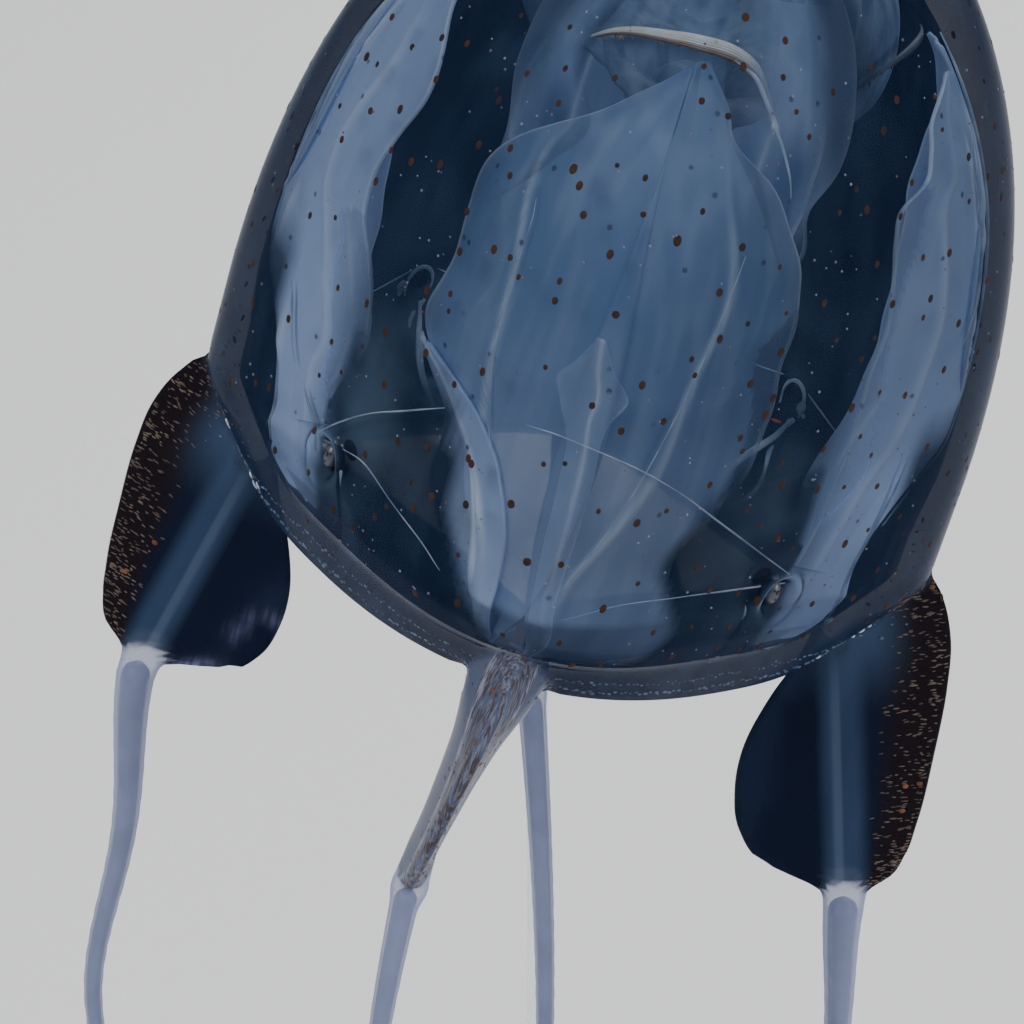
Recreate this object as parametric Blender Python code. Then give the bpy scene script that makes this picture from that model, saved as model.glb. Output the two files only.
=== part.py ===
"""Box jellyfish, life size, swimming with its bell tipped to one side, held on a plain display stand.

The bell's own frame has its origin at the middle of the bell's margin and +Z towards the crown. Its four
corners lie on the frame's X and Y axes. That frame is tipped and turned by BELL_LEAN and BELL_TURN and
lifted to MARGIN_HEIGHT above the floor. Sizes below are in millimetres.
"""
import math

import bmesh
import bpy
from mathutils import Matrix, Vector

MM = 0.001
GAP = 0.3                    # clearance between neighbouring pieces
FACET_SAG = 0.15             # how far a flat facet of the cavity wall stands inside its true curve

# Pose
MARGIN_HEIGHT = 150.0        # middle of the bell's margin above the floor
BELL_LEAN = 15.0             # degrees, crown tipped towards +X
BELL_TURN = -8.4             # degrees about the bell's own axis

# Bell: half width is measured at the middle of a face, the corners reach further
FACE_HALF_WIDTH = 24.8
RIM_HALF_WIDTH = 22.7
CAVITY_HALF_WIDTH = 22.6
RIM_Z = -0.6
SHOULDER_Z = 6.0             # below this the corners round in towards the rim
DOME_FOOT_Z = 15.0
CROWN_Z = 61.5
CAVITY_TOP_Z = 56.0
DOME_POWER = 2.3
CAVITY_POWER = 2.6
SQUARE = 4.0                 # exponent of the rounded square section at mid height
ROUND = 2.4                  # the same at the rim
CROWN_SQUARE = 3.0           # and at the crown
BELL_SIDES = 36

# Velarium: the thin shelf that narrows the mouth of the bell
MOUTH_X = 20.0
MOUTH_Y = 15.6
VELARIUM_Z = 0.8
VELARIUM_RISE = 0.5          # how far its free edge bows up at the middle of a side
VELARIUM_THICK = 0.7
FRENULUM_HEIGHT = 7.0
FRENULUM_REACH = 6.5         # along the velarium, inwards from the wall
FRENULUM_THICK = 0.6

# Rhopalia (sense clubs) in their niches
NICHE_Z = 9.0
NICHE_RADII = (1.5, 2.3, 2.8)
CLUB_RADII = (0.55, 0.6, 1.25)

# Gonads: two leaves beside each corner, lying on the cavity wall
LEAF_THICK = 0.7
LEAF_LIFT = 0.32             # further from the wall where the wall curves across a leaf's facets
LEAF_START = 3.0             # degrees from the corner's middle line
LEAF_TOP_Z = 46.0
LEAF_FOOT_Z = 1.6

# Stomach, manubrium, phacellae
STOMACH_FLOOR_Z = 41.0
STOMACH_TOP_Z = 55.4
STOMACH_HALF_WIDTH = 12.4
MANUBRIUM_TIP_Z = 30.0
PHACELLA_RADIUS = 0.9
PHACELLA_ARCH_Z = 46.6       # middle of each crescent
PHACELLA_DROOP = 4.0         # its ends hang this much lower
PHACELLA_SPAN = 42.0         # degrees to each side of the corner

# Pedalia and tentacles. joint and tip are in the bell's frame: the canal runs from one to the other.
# base and fade shape the tentacle's radius; sway is its sideways swing in X and Y on the way down.
CORNERS = {
    "left": dict(joint=(-24, 0, 0), tip=(-28.7, 0, -22.0), base=1.70, fade=24, sway=(-5.8, 2.0), wave=136),
    "right": dict(joint=(24, 0, 0), tip=(31.8, 0, -23.8), base=1.80, fade=20, sway=(-1.8, 2.6), wave=124),
    "front": dict(joint=(0, -24, 0), tip=(-2.4, -22.6, -20.2), base=1.45, fade=17, sway=(-3.8, -2.0), wave=118),
    "back": dict(joint=(0, 24, 0), tip=(2.5, 21.4, -26.4), base=1.28, fade=42, sway=(1.4, -3.0), wave=136),
}
TENTACLE_END_Z = 13.0        # lowest point of the tentacles above the floor
TENTACLE_TIP_RADIUS = 0.45
TENTACLE_LENGTHS = 3
TENTACLE_SIDES = 8
TENTACLE_RINGS = 9           # rings in each length

# Stand
BASE_RADIUS = 50.0
BASE_THICK = 8.0
BASE_EDGE = 1.2
ROD_RADIUS = 1.1
BORE_DEPTH = 5.0


# ---------------------------------------------------------------- helpers

def clear_scene():
    for old in list(bpy.data.objects):
        bpy.data.objects.remove(old, do_unlink=True)


def material(name, colour, roughness, metallic=0.0, alpha=1.0):
    made = bpy.data.materials.new(name)
    made.use_nodes = True
    shader = made.node_tree.nodes["Principled BSDF"]
    shader.inputs["Base Color"].default_value = (*colour, 1.0)
    shader.inputs["Roughness"].default_value = roughness
    shader.inputs["Metallic"].default_value = metallic
    shader.inputs["Alpha"].default_value = alpha
    return made


def add_object(name, bm, finish, parent=None):
    """Turn a bmesh into a named object with outward normals and smooth shading."""
    bmesh.ops.recalc_face_normals(bm, faces=bm.faces[:])
    mesh = bpy.data.meshes.new(name)
    bm.to_mesh(mesh)
    bm.free()
    mesh.shade_smooth()
    mesh.set_sharp_from_angle(angle=math.radians(40))
    mesh.materials.append(finish)
    made = bpy.data.objects.new(name, mesh)
    bpy.context.scene.collection.objects.link(made)
    made.parent = parent
    return made


def hide_as_tool(cutter):
    cutter.hide_render = True
    cutter.display_type = 'WIRE'


def subtract(target, cutter):
    cut = target.modifiers.new("cut_" + cutter.name, 'BOOLEAN')
    cut.operation = 'DIFFERENCE'
    cut.solver = 'EXACT'
    cut.object = cutter


def lerp(a, b, t):
    return a + (b - a) * min(max(t, 0.0), 1.0)


def grow_rings(sides, rings):
    """Closed body: a circle extruded ring by ring. rings holds functions from a ring's turn (0..1) to a point."""
    bm = bmesh.new()
    turn = bm.verts.layers.int.new("turn")
    circle = bmesh.ops.create_circle(bm, segments=sides, radius=1.0)["verts"]
    for index, vert in enumerate(circle):
        vert[turn] = index
        vert.co = Vector(rings[0](index / sides)) * MM
    loop = list(bm.edges)
    bmesh.ops.edgeloop_fill(bm, edges=loop)
    for ring in rings[1:]:
        grown = bmesh.ops.extrude_edge_only(bm, edges=loop)["geom"]
        verts = [item for item in grown if isinstance(item, bmesh.types.BMVert)]
        fresh = set(verts)
        loop = [item for item in grown
                if isinstance(item, bmesh.types.BMEdge) and item.verts[0] in fresh and item.verts[1] in fresh]
        for vert in verts:
            vert.co = Vector(ring(vert[turn] / sides)) * MM
    bmesh.ops.edgeloop_fill(bm, edges=loop)
    return bm


def grow_sheet(columns, rows, point_at):
    """Open sheet: a grid laid out by point_at(across, along), both 0..1."""
    bm = bmesh.new()
    bmesh.ops.create_grid(bm, x_segments=columns, y_segments=rows, size=0.5)
    for vert in bm.verts:
        vert.co = Vector(point_at(vert.co.x + 0.5, vert.co.y + 0.5)) * MM
    return bm


def thicken(sheet, thickness):
    wall = sheet.modifiers.new("thickness", 'SOLIDIFY')
    wall.thickness = thickness * MM
    wall.offset = 0.0
    wall.use_even_offset = True


def sweep(points, radii, sides):
    """Closed round body along a path of points with a radius at each."""
    rings = []
    for index, centre in enumerate(points):
        before = points[max(index - 1, 0)]
        after = points[min(index + 1, len(points) - 1)]
        along = (after - before).normalized()
        side = Vector((0, 1, 0)).cross(along).normalized()
        third = along.cross(side)
        radius = radii[index]
        rings.append(lambda t, c=centre, a=side, b=third, r=radius:
                     c + a * (r * math.cos(t * math.tau)) + b * (r * math.sin(t * math.tau)))
    return grow_rings(sides, rings)


# ---------------------------------------------------------------- bell shape

def section_radius(angle, half_width, exponent):
    """Rounded square with its corners on the axes: distance from the middle at an angle."""
    across = abs(math.cos(angle - math.pi / 4))
    along = abs(math.sin(angle - math.pi / 4))
    return half_width / (across ** exponent + along ** exponent) ** (1 / exponent)


def exponent_at(z):
    if z < SHOULDER_Z:
        return lerp(ROUND, SQUARE, (z - RIM_Z) / (SHOULDER_Z - RIM_Z))
    return lerp(SQUARE, CROWN_SQUARE, (z - DOME_FOOT_Z) / (CROWN_Z - DOME_FOOT_Z))


def dome(z, top, power):
    if z <= DOME_FOOT_Z:
        return 1.0
    share = min((z - DOME_FOOT_Z) / (top - DOME_FOOT_Z), 1.0)
    return math.sqrt(max(1.0 - share ** power, 0.0))


def outer_half_width(z):
    if z < SHOULDER_Z:
        return lerp(RIM_HALF_WIDTH, FACE_HALF_WIDTH, (z - RIM_Z) / (SHOULDER_Z - RIM_Z))
    return FACE_HALF_WIDTH * dome(z, CROWN_Z, DOME_POWER)


def cavity_half_width(z):
    foot = lerp(RIM_HALF_WIDTH - 2.0, CAVITY_HALF_WIDTH, z / SHOULDER_Z)
    return foot * dome(z, CAVITY_TOP_Z, CAVITY_POWER)


def cavity_radius(angle, z):
    return section_radius(angle, cavity_half_width(z), exponent_at(z))


def level_ring(half_width, exponent, z):
    def point(t):
        angle = t * math.tau
        radius = section_radius(angle, half_width, exponent)
        return (radius * math.cos(angle), radius * math.sin(angle), z)
    return point


def outer_rings(grow=0.0):
    heights = [2.0, SHOULDER_Z, 11, 18, 25, 32, 38.5, 44.5, 50, 54.5, 58, 60.4, 61.3]
    rings = [level_ring(RIM_HALF_WIDTH - 0.7 + grow, ROUND, RIM_Z - 0.5 - grow),
             level_ring(RIM_HALF_WIDTH + grow, ROUND, RIM_Z)]
    for z in heights:
        lift = grow if z > DOME_FOOT_Z else 0.0
        rings.append(level_ring(outer_half_width(z) + grow, exponent_at(z), z + lift))
    return rings


def cavity_rings():
    heights = [55.8, 54.6, 51.5, 47, 40.5, 33, 24, DOME_FOOT_Z, SHOULDER_Z, 2.5, 0.0]
    return [level_ring(cavity_half_width(z), exponent_at(z), z) for z in heights]


def make_bell(frame, finish):
    bell = add_object("bell", grow_rings(BELL_SIDES, cavity_rings() + outer_rings()), finish, frame)
    niches = niche_cutter(frame, finish)
    subtract(bell, niches)
    return bell


def make_bell_envelope(frame, finish):
    """The bell's outer form, one clearance larger: what grows on the bell is trimmed to it."""
    envelope = add_object("bell_envelope", grow_rings(BELL_SIDES, outer_rings(GAP)), finish, frame)
    hide_as_tool(envelope)
    return envelope


# ---------------------------------------------------------------- sense clubs

def face_angles():
    return {"front_right": -45, "back_right": 45, "back_left": 135, "front_left": -135}


def face_matrix(degrees, radius, z, scale):
    turn = Matrix.Rotation(math.radians(degrees), 4, 'Z')
    place = Matrix.Translation(Vector((radius, 0, z)) * MM)
    return turn @ place @ Matrix.Diagonal((*[value * MM for value in scale], 1.0))


def niche_cutter(frame, finish):
    bm = bmesh.new()
    for degrees in face_angles().values():
        spot = face_matrix(degrees, FACE_HALF_WIDTH + 0.1, NICHE_Z, NICHE_RADII)
        bmesh.ops.create_uvsphere(bm, u_segments=10, v_segments=6, radius=1.0, matrix=spot)
    cutter = add_object("rhopalial_niches", bm, finish, frame)
    hide_as_tool(cutter)
    return cutter


def make_rhopalia(frame, finish):
    for side, degrees in face_angles().items():
        bm = bmesh.new()
        spot = face_matrix(degrees, FACE_HALF_WIDTH - 0.45, NICHE_Z + 0.2, CLUB_RADII)
        bmesh.ops.create_uvsphere(bm, u_segments=8, v_segments=6, radius=1.0, matrix=spot)
        add_object("rhopalium_" + side, bm, finish, frame)


# ---------------------------------------------------------------- velarium

def mouth_radius(angle):
    return 1.0 / (abs(math.cos(angle)) / MOUTH_X + abs(math.sin(angle)) / MOUTH_Y)


def make_velarium(frame, finish):
    """Four quarters that meet at the corners, each a sheet from the bell's wall to the edge of the mouth."""
    for side, degrees in face_angles().items():
        middle = math.radians(degrees)
        span = math.radians(90) - 2 * GAP / MOUTH_X

        def point(across, along, middle=middle, span=span):
            angle = middle + (across - 0.5) * span
            wall = cavity_radius(angle, VELARIUM_Z - VELARIUM_THICK / 2) - GAP - FACET_SAG
            radius = lerp(wall, mouth_radius(angle), along)
            rise = VELARIUM_RISE * math.sin(math.pi * across) * along
            return (radius * math.cos(angle), radius * math.sin(angle), VELARIUM_Z + rise)

        quarter = add_object("velarium_" + side, grow_sheet(9, 2, point), finish, frame)
        thicken(quarter, VELARIUM_THICK)


def make_frenula(frame, finish):
    """A small upright web at the middle of each face ties the velarium to the wall."""
    for side, degrees in face_angles().items():
        angle = math.radians(degrees)

        def point(across, along, angle=angle):
            foot = VELARIUM_Z + VELARIUM_RISE + VELARIUM_THICK / 2 + GAP
            z = foot + across * FRENULUM_HEIGHT
            wall = cavity_radius(angle, z) - GAP - FACET_SAG
            reach = lerp(FRENULUM_REACH, 1.0, across ** 0.7)
            radius = wall - along * reach
            return (radius * math.cos(angle), radius * math.sin(angle), z)

        web = add_object("frenulum_" + side, grow_sheet(5, 3, point), finish, frame)
        thicken(web, FRENULUM_THICK)


# ---------------------------------------------------------------- gonads

def make_gonads(frame, finish):
    """Two leaves at each corner; those at the front and back spread wider than those at the sides."""
    corners = {"front": (-90, 38), "right": (0, 16), "back": (90, 38), "left": (180, 15)}
    for corner, (degrees, spread) in corners.items():
        for side, hand in (("a", 1), ("b", -1)):

            def point(across, along, degrees=degrees, spread=spread, hand=hand):
                z = lerp(LEAF_FOOT_Z, LEAF_TOP_Z, along)
                swell = math.sin(math.pi * lerp(0.12, 0.97, along)) ** 0.6
                turn = LEAF_START + (spread - LEAF_START) * swell * across
                angle = math.radians(degrees + hand * turn)
                radius = cavity_radius(angle, z) - GAP - FACET_SAG - LEAF_THICK / 2 - LEAF_LIFT
                return (radius * math.cos(angle), radius * math.sin(angle), z)

            leaf = add_object("gonad_%s_%s" % (corner, side), grow_sheet(4, 8, point), finish, frame)
            thicken(leaf, LEAF_THICK)


# ---------------------------------------------------------------- stomach

def make_stomach(frame, finish):
    levels = [(0.0, 0.72), (0.1, 0.93), (0.35, 1.0), (0.6, 0.93), (0.82, 0.72), (0.95, 0.42), (1.0, 0.12)]
    rings = []
    for share, width in levels:
        z = lerp(STOMACH_FLOOR_Z, STOMACH_TOP_Z, share)
        rings.append(level_ring(STOMACH_HALF_WIDTH * width, 3.2, z))
    add_object("stomach", grow_rings(20, rings), finish, frame)


def make_manubrium(frame, finish):
    """Short four-cornered mouth tube that flares into four lips."""
    top = STOMACH_FLOOR_Z - GAP
    rings = []
    for share, radius, lobes in [(0, 5.2, 0.10), (0.25, 3.9, 0.15), (0.55, 3.2, 0.2), (0.8, 3.9, 0.35),
                                 (1.0, 5.4, 0.5), (0.93, 3.2, 0.4), (0.8, 1.0, 0.1)]:
        z = lerp(top, MANUBRIUM_TIP_Z, share)

        def ring(t, z=z, radius=radius, lobes=lobes):
            angle = t * math.tau
            reach = radius * (1 + lobes * math.cos(4 * angle))
            return (reach * math.cos(angle), reach * math.sin(angle), z)

        rings.append(ring)
    add_object("manubrium", grow_rings(20, rings), finish, frame)


def make_phacellae(frame, finish):
    """A crescent of gastric threads arches over each corner of the stomach, its ends drooping."""
    for corner, degrees in {"front": -90, "right": 0, "back": 90, "left": 180}.items():
        points, radii = [], []
        steps = 8
        for step in range(steps + 1):
            swing = 2 * step / steps - 1
            angle = math.radians(degrees + PHACELLA_SPAN * swing)
            z = PHACELLA_ARCH_Z - PHACELLA_DROOP * swing ** 2
            stomach = section_radius(angle, STOMACH_HALF_WIDTH, 3.2)
            radius = stomach + GAP + PHACELLA_RADIUS
            points.append(Vector((radius * math.cos(angle), radius * math.sin(angle), z)))
            radii.append(PHACELLA_RADIUS * (1 - 0.6 * swing ** 2))
        bm = grow_crescent(points, radii)
        add_object("phacella_" + corner, bm, finish, frame)


def grow_crescent(points, radii):
    rings = []
    for index, centre in enumerate(points):
        before = points[max(index - 1, 0)]
        after = points[min(index + 1, len(points) - 1)]
        along = (after - before).normalized()
        outward = Vector((centre.x, centre.y, 0)).normalized()
        upward = along.cross(outward).normalized()
        rings.append(lambda t, c=centre, a=upward, b=outward, r=radii[index]:
                     c + a * (r * math.cos(t * math.tau)) + b * (r * math.sin(t * math.tau)))
    return grow_rings(6, rings)


# ---------------------------------------------------------------- pedalia

OUTER_KEEL = [(-0.30, 3.0), (-0.2, 6.4), (-0.08, 7.9), (0.08, 8.6), (0.25, 8.3), (0.5, 7.2), (0.75, 5.8),
              (0.88, 4.7), (0.96, 3.3), (1.0, 2.0)]
INNER_KEEL = [(-0.30, 0.6), (0.0, 1.8), (0.15, 3.4), (0.3, 5.8), (0.5, 8.2), (0.65, 8.9), (0.8, 8.6),
              (0.9, 7.2), (0.97, 4.6), (1.0, 2.6)]
CANAL_HALF = [(-0.30, 3.2), (0.0, 3.0), (0.25, 2.0), (0.6, 1.35), (0.9, 1.25), (1.0, 1.45)]


def along_outline(outline, share):
    for (s0, w0), (s1, w1) in zip(outline, outline[1:]):
        if share <= s1:
            return lerp(w0, w1, (share - s0) / (s1 - s0))
    return outline[-1][1]


def pedalium_section(share):
    """Half the blade's section as (distance along the blade, half thickness), outer edge to inner edge."""
    outer = along_outline(OUTER_KEEL, share)
    inner = along_outline(INNER_KEEL, share)
    middle = along_outline(CANAL_HALF, share)
    edge = 0.45
    return [(outer, 0.0), (outer - 0.35, edge), (outer * 0.62 + 0.2, lerp(edge, middle, 0.34)),
            (outer * 0.26 + 0.2, middle * 0.86), (0.0, middle), (-inner * 0.26 - 0.2, middle * 0.8),
            (-inner * 0.62 - 0.2, lerp(edge, middle, 0.25)), (0.35 - inner, edge), (-inner, 0.0)]


def blade_axes(spec):
    """Where a blade starts, its canal, and the directions across the blade and through it."""
    joint = Vector(spec["joint"])
    canal = Vector(spec["tip"]) - joint
    down = canal.normalized()
    outward = Vector((joint.x, joint.y, 0)).normalized()
    outward = (outward - down * outward.dot(down)).normalized()
    return joint, canal, outward, down.cross(outward)


def make_pedalium(corner, spec, frame, finish, envelope):
    joint, canal, outward, flat = blade_axes(spec)
    half = len(pedalium_section(0.0))
    sides = 2 * half - 2
    rings = []
    for share in [-0.30, -0.2, -0.08, 0.08, 0.25, 0.4, 0.55, 0.7, 0.8, 0.88, 0.94, 0.98, 1.0]:
        section = pedalium_section(share)
        loop = section + [(w, -h) for w, h in reversed(section[1:-1])]

        def ring(t, loop=loop, share=share):
            width, height = loop[round(t * sides) % sides]
            return joint + canal * share + outward * width + flat * height

        rings.append(ring)
    blade = add_object("pedalium_" + corner, grow_rings(sides, rings), finish, frame)
    subtract(blade, envelope)


# ---------------------------------------------------------------- tentacles

def tentacle_point(start, spec, drop):
    swing = math.sin(math.tau * drop / spec["wave"])
    sway_x, sway_y = spec["sway"]
    return start + Vector((sway_x * swing, sway_y * swing * 0.8, -drop))


def tentacle_radius(spec, drop):
    return TENTACLE_TIP_RADIUS + (spec["base"] - TENTACLE_TIP_RADIUS) * math.exp(-drop / spec["fade"])


def make_tentacle(corner, spec, frame_matrix, finish):
    """Hangs from the pedalium's tip to just above the stand's base, in a few lengths that meet end to end."""
    start = (frame_matrix @ (Vector(spec["tip"]) * MM)) / MM
    total = start.z - TENTACLE_END_Z
    first = 2 * GAP
    for part in range(TENTACLE_LENGTHS):
        top = first + (total - first) * part / TENTACLE_LENGTHS
        end = first + (total - first) * (part + 1) / TENTACLE_LENGTHS
        if part < TENTACLE_LENGTHS - 1:
            end -= GAP
        drops = [lerp(top, end, step / (TENTACLE_RINGS - 1)) for step in range(TENTACLE_RINGS)]
        points = [tentacle_point(start, spec, drop) for drop in drops]
        radii = [tentacle_radius(spec, drop) for drop in drops]
        bm = sweep(points, radii, TENTACLE_SIDES)
        add_object("tentacle_%s_%d" % (corner, part + 1), bm, finish)


# ---------------------------------------------------------------- stand

def keel_point(spec, share, clearance):
    """A point outside the outer keel of a pedalium, in the bell's frame."""
    joint, canal, outward, _ = blade_axes(spec)
    return joint + canal * share + outward * (along_outline(OUTER_KEEL, share) + clearance)


def rod_path(frame_matrix):
    """Straight up behind the rear tentacle, then along the rear pedalium's outer keel to the bell's corner."""
    beside = ROD_RADIUS + GAP
    upper = [keel_point(CORNERS["back"], share, beside) for share in (0.34, 0.2, 0.08, -0.06)]
    upper = [(frame_matrix @ (point * MM)) / MM for point in upper]
    foot = Vector((-0.5, upper[0].y + 0.4, BASE_THICK - BORE_DEPTH + GAP))
    bend = [Vector((-0.5, foot.y, MARGIN_HEIGHT - drop)) for drop in (72, 52)]
    elbow = [Vector((-0.9, foot.y, MARGIN_HEIGHT - 38)), Vector((0.2, foot.y, MARGIN_HEIGHT - 26))]
    return [foot] + bend + elbow + upper


def make_stand(frame_matrix, base_finish, rod_finish):
    path = rod_path(frame_matrix)
    rod = sweep(path, [ROD_RADIUS] * len(path), 10)
    add_object("stand_rod", rod, rod_finish)

    bm = bmesh.new()
    middle = Matrix.Translation((0, 0, BASE_THICK / 2 * MM))
    bmesh.ops.create_cone(bm, cap_ends=True, segments=48, radius1=BASE_RADIUS * MM, radius2=BASE_RADIUS * MM,
                          depth=BASE_THICK * MM, matrix=middle)
    rims = [edge for edge in bm.edges if any(len(face.verts) > 4 for face in edge.link_faces)]
    bmesh.ops.bevel(bm, geom=rims, offset=BASE_EDGE * MM, segments=1, affect='EDGES', profile=0.5)
    base = add_object("stand_base", bm, base_finish)

    bm = bmesh.new()
    foot = path[0]
    top = BASE_THICK + 2.0
    bottom = BASE_THICK - BORE_DEPTH
    bmesh.ops.create_cone(bm, cap_ends=True, segments=16, radius1=(ROD_RADIUS + GAP) * MM,
                          radius2=(ROD_RADIUS + GAP) * MM, depth=(top - bottom) * MM,
                          matrix=Matrix.Translation(Vector((foot.x, foot.y, (top + bottom) / 2)) * MM))
    bore = add_object("rod_bore", bm, rod_finish)
    hide_as_tool(bore)
    subtract(base, bore)


# ---------------------------------------------------------------- assembly

def make_frame():
    frame = bpy.data.objects.new("bell_frame", None)
    bpy.context.scene.collection.objects.link(frame)
    lean = Matrix.Rotation(math.radians(BELL_LEAN), 4, 'Y')
    turn = Matrix.Rotation(math.radians(BELL_TURN), 4, 'Z')
    frame.matrix_world = Matrix.Translation((0, 0, MARGIN_HEIGHT * MM)) @ lean @ turn
    return frame


def main():
    clear_scene()
    jelly = material("bell_jelly", (0.10, 0.17, 0.30), 0.25, alpha=0.55)
    velum = material("velarium", (0.16, 0.25, 0.40), 0.3, alpha=0.55)
    blade = material("pedalium", (0.12, 0.14, 0.20), 0.4, alpha=0.8)
    cord = material("tentacle", (0.55, 0.60, 0.78), 0.35)
    leaf = material("gonad", (0.32, 0.46, 0.66), 0.4)
    club = material("rhopalium", (0.45, 0.30, 0.22), 0.4)
    gut = material("stomach", (0.40, 0.50, 0.64), 0.4)
    thread = material("phacella", (0.80, 0.78, 0.68), 0.5)
    base_finish = material("stand_base", (0.03, 0.03, 0.035), 0.45)
    rod_finish = material("stand_rod", (0.8, 0.82, 0.85), 0.1, alpha=0.6)

    frame = make_frame()
    bpy.context.view_layer.update()
    make_bell(frame, jelly)
    envelope = make_bell_envelope(frame, jelly)
    make_velarium(frame, velum)
    make_frenula(frame, velum)
    make_rhopalia(frame, club)
    make_gonads(frame, leaf)
    make_stomach(frame, gut)
    make_manubrium(frame, gut)
    make_phacellae(frame, thread)
    for corner, spec in CORNERS.items():
        make_pedalium(corner, spec, frame, blade, envelope)
        make_tentacle(corner, spec, frame.matrix_world, cord)
    make_stand(frame.matrix_world, base_finish, rod_finish)


main()
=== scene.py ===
import math
import random

import bmesh
import bpy
import numpy as np
from mathutils import Matrix, Vector
from mathutils.bvhtree import BVHTree
from mathutils.kdtree import KDTree


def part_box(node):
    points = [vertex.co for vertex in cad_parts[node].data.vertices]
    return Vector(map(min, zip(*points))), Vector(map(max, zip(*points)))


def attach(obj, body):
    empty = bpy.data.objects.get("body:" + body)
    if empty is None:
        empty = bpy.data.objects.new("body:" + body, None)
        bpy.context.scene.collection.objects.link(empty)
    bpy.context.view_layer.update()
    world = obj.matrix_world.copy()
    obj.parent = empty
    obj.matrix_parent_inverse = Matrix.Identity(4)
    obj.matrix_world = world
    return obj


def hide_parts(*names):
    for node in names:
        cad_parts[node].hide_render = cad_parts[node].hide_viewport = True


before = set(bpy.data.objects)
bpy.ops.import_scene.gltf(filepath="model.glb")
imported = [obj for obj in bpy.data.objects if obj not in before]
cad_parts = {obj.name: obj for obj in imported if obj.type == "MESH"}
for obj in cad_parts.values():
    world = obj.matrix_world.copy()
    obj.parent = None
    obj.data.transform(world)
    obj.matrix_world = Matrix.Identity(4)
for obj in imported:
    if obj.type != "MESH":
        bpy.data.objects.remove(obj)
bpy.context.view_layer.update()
mm = 0.001
faceTurns = {"front_right": -45, "back_right": 45, "back_left": 135, "front_left": -135}
cornerTurns = {"front": -90, "right": 0, "back": 90, "left": 180}

# sizes in millimetres, in the bell's own frame: origin at the middle of its margin, +Z to the crown
bellShape = {
    "faceHalfWidth": 24.8, "rimHalfWidth": 22.7, "cavityHalfWidth": 22.6, "cavityFootWidth": 20.7,
    "rimZ": -0.6, "shoulderZ": 6.0, "domeFootZ": 15.0, "crownZ": 61.5, "cavityTopZ": 56.0,
    "domePower": 2.3, "cavityPower": 2.6, "cornerHollow": 0.6, "square": 4.0, "round": 2.4,
    "crownSquare": 3.0, "hollowFoot": (8.0, 16.0), "hollowTop": (34.0, 50.0), "clubHeight": 9.2,
    "sides": 240, "domeLevels": 54, "wallLevels": 14, "shoulderLevels": 13, "footLevels": 18,
    "cavityLevels": 44,
    # filledRim is (half width, height); the two ends are degrees from a dome's foot to its last ring
    "filledRim": (22.0, -0.7), "domeEnd": 88.9, "cavityEnd": 88.6,
    # the rounded rim, (half width, height)
    "rim": ((22.6, -0.85), (22.35, -1.03), (22.0, -1.1), (21.6, -1.02), (21.25, -0.75), (21.0, -0.4),
            (20.85, -0.05), (20.7, 0.25)),
}
velariumShape = {
    "mouthX": 20.0, "mouthY": 15.6, "z": 0.8, "rise": 0.5, "thickAtWall": 0.7, "thickAtMouth": 0.4,
    "rows": 13, "firstShare": 0.04, "roundedShare": 1.02, "pleats": 7, "pleatDepth": 0.16,
    "fillet": (1.35, 1.6, 2.0, 2.5), "filletTop": 3.1,
}
frenulumShape = {
    "height": 7.0, "foot": 0.6, "reach": 6.5, "topReach": 1.0, "taper": 0.7, "thick": 0.5, "inWall": 0.8,
    "sway": 0.5, "swayTurn": 5.0, "rows": 22, "columns": 10,
}


# measuring
def middleOf(node):
    low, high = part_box(node)
    return (low + high) / 2


def findBellFrame():  # the four sense clubs give the bell's axis and its turn
    club = {side: middleOf("rhopalium_" + side) for side in faceTurns}
    centre = sum(club.values(), Vector()) / len(club)
    right = (club["front_right"] + club["back_right"] - club["front_left"] - club["back_left"]).normalized()
    back = (club["back_left"] + club["back_right"] - club["front_left"] - club["front_right"]).normalized()
    up = right.cross(back).normalized()
    axes = Matrix((right, up.cross(right), up)).transposed().to_4x4()
    return Matrix.Translation(centre - up * bellShape["clubHeight"] * mm) @ axes


bellFrame = findBellFrame()
bellTurn = np.array(bellFrame.to_3x3())
bellPlace = np.array(bellFrame.translation) / mm


def toWorld(points):  # bell millimetres to world millimetres
    return np.asarray(points, float) @ bellTurn.T + bellPlace


def toBell(points):  # world millimetres to bell millimetres
    return (np.asarray(points, float) - bellPlace) @ bellTurn


def lerp(a, b, t):
    return a + (b - a) * np.clip(t, 0.0, 1.0)


def smooth(value, low, high):
    t = np.clip((value - low) / (high - low), 0.0, 1.0)
    return t * t * (3 - 2 * t)


def curveThrough(outline, place):  # smooth curve through (place, value) pairs
    outline = np.array(outline, float)
    xs, ys = outline[:, 0], outline[:, 1]
    slopes = np.gradient(ys, xs)
    place = np.clip(np.asarray(place, float), xs[0], xs[-1])
    k = np.clip(np.searchsorted(xs, place, side="right") - 1, 0, len(xs) - 2)
    span = xs[k + 1] - xs[k]
    t = (place - xs[k]) / span
    return (ys[k] * (1 + 2 * t) * (1 - t) ** 2 + slopes[k] * span * t * (1 - t) ** 2
            + ys[k + 1] * t * t * (3 - 2 * t) + slopes[k + 1] * span * t * t * (t - 1))


# bell surfaces
def sectionRadius(angle, halfWidth, exponent):
    across = abs(np.cos(angle - math.pi / 4))
    along = abs(np.sin(angle - math.pi / 4))
    return halfWidth / (across ** exponent + along ** exponent) ** (1 / exponent)


def exponentAt(z):
    b = bellShape
    low = lerp(b["round"], b["square"], (z - b["rimZ"]) / (b["shoulderZ"] - b["rimZ"]))
    high = lerp(b["square"], b["crownSquare"], (z - b["domeFootZ"]) / (b["crownZ"] - b["domeFootZ"]))
    return np.where(np.asarray(z) < b["shoulderZ"], low, high)


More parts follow.
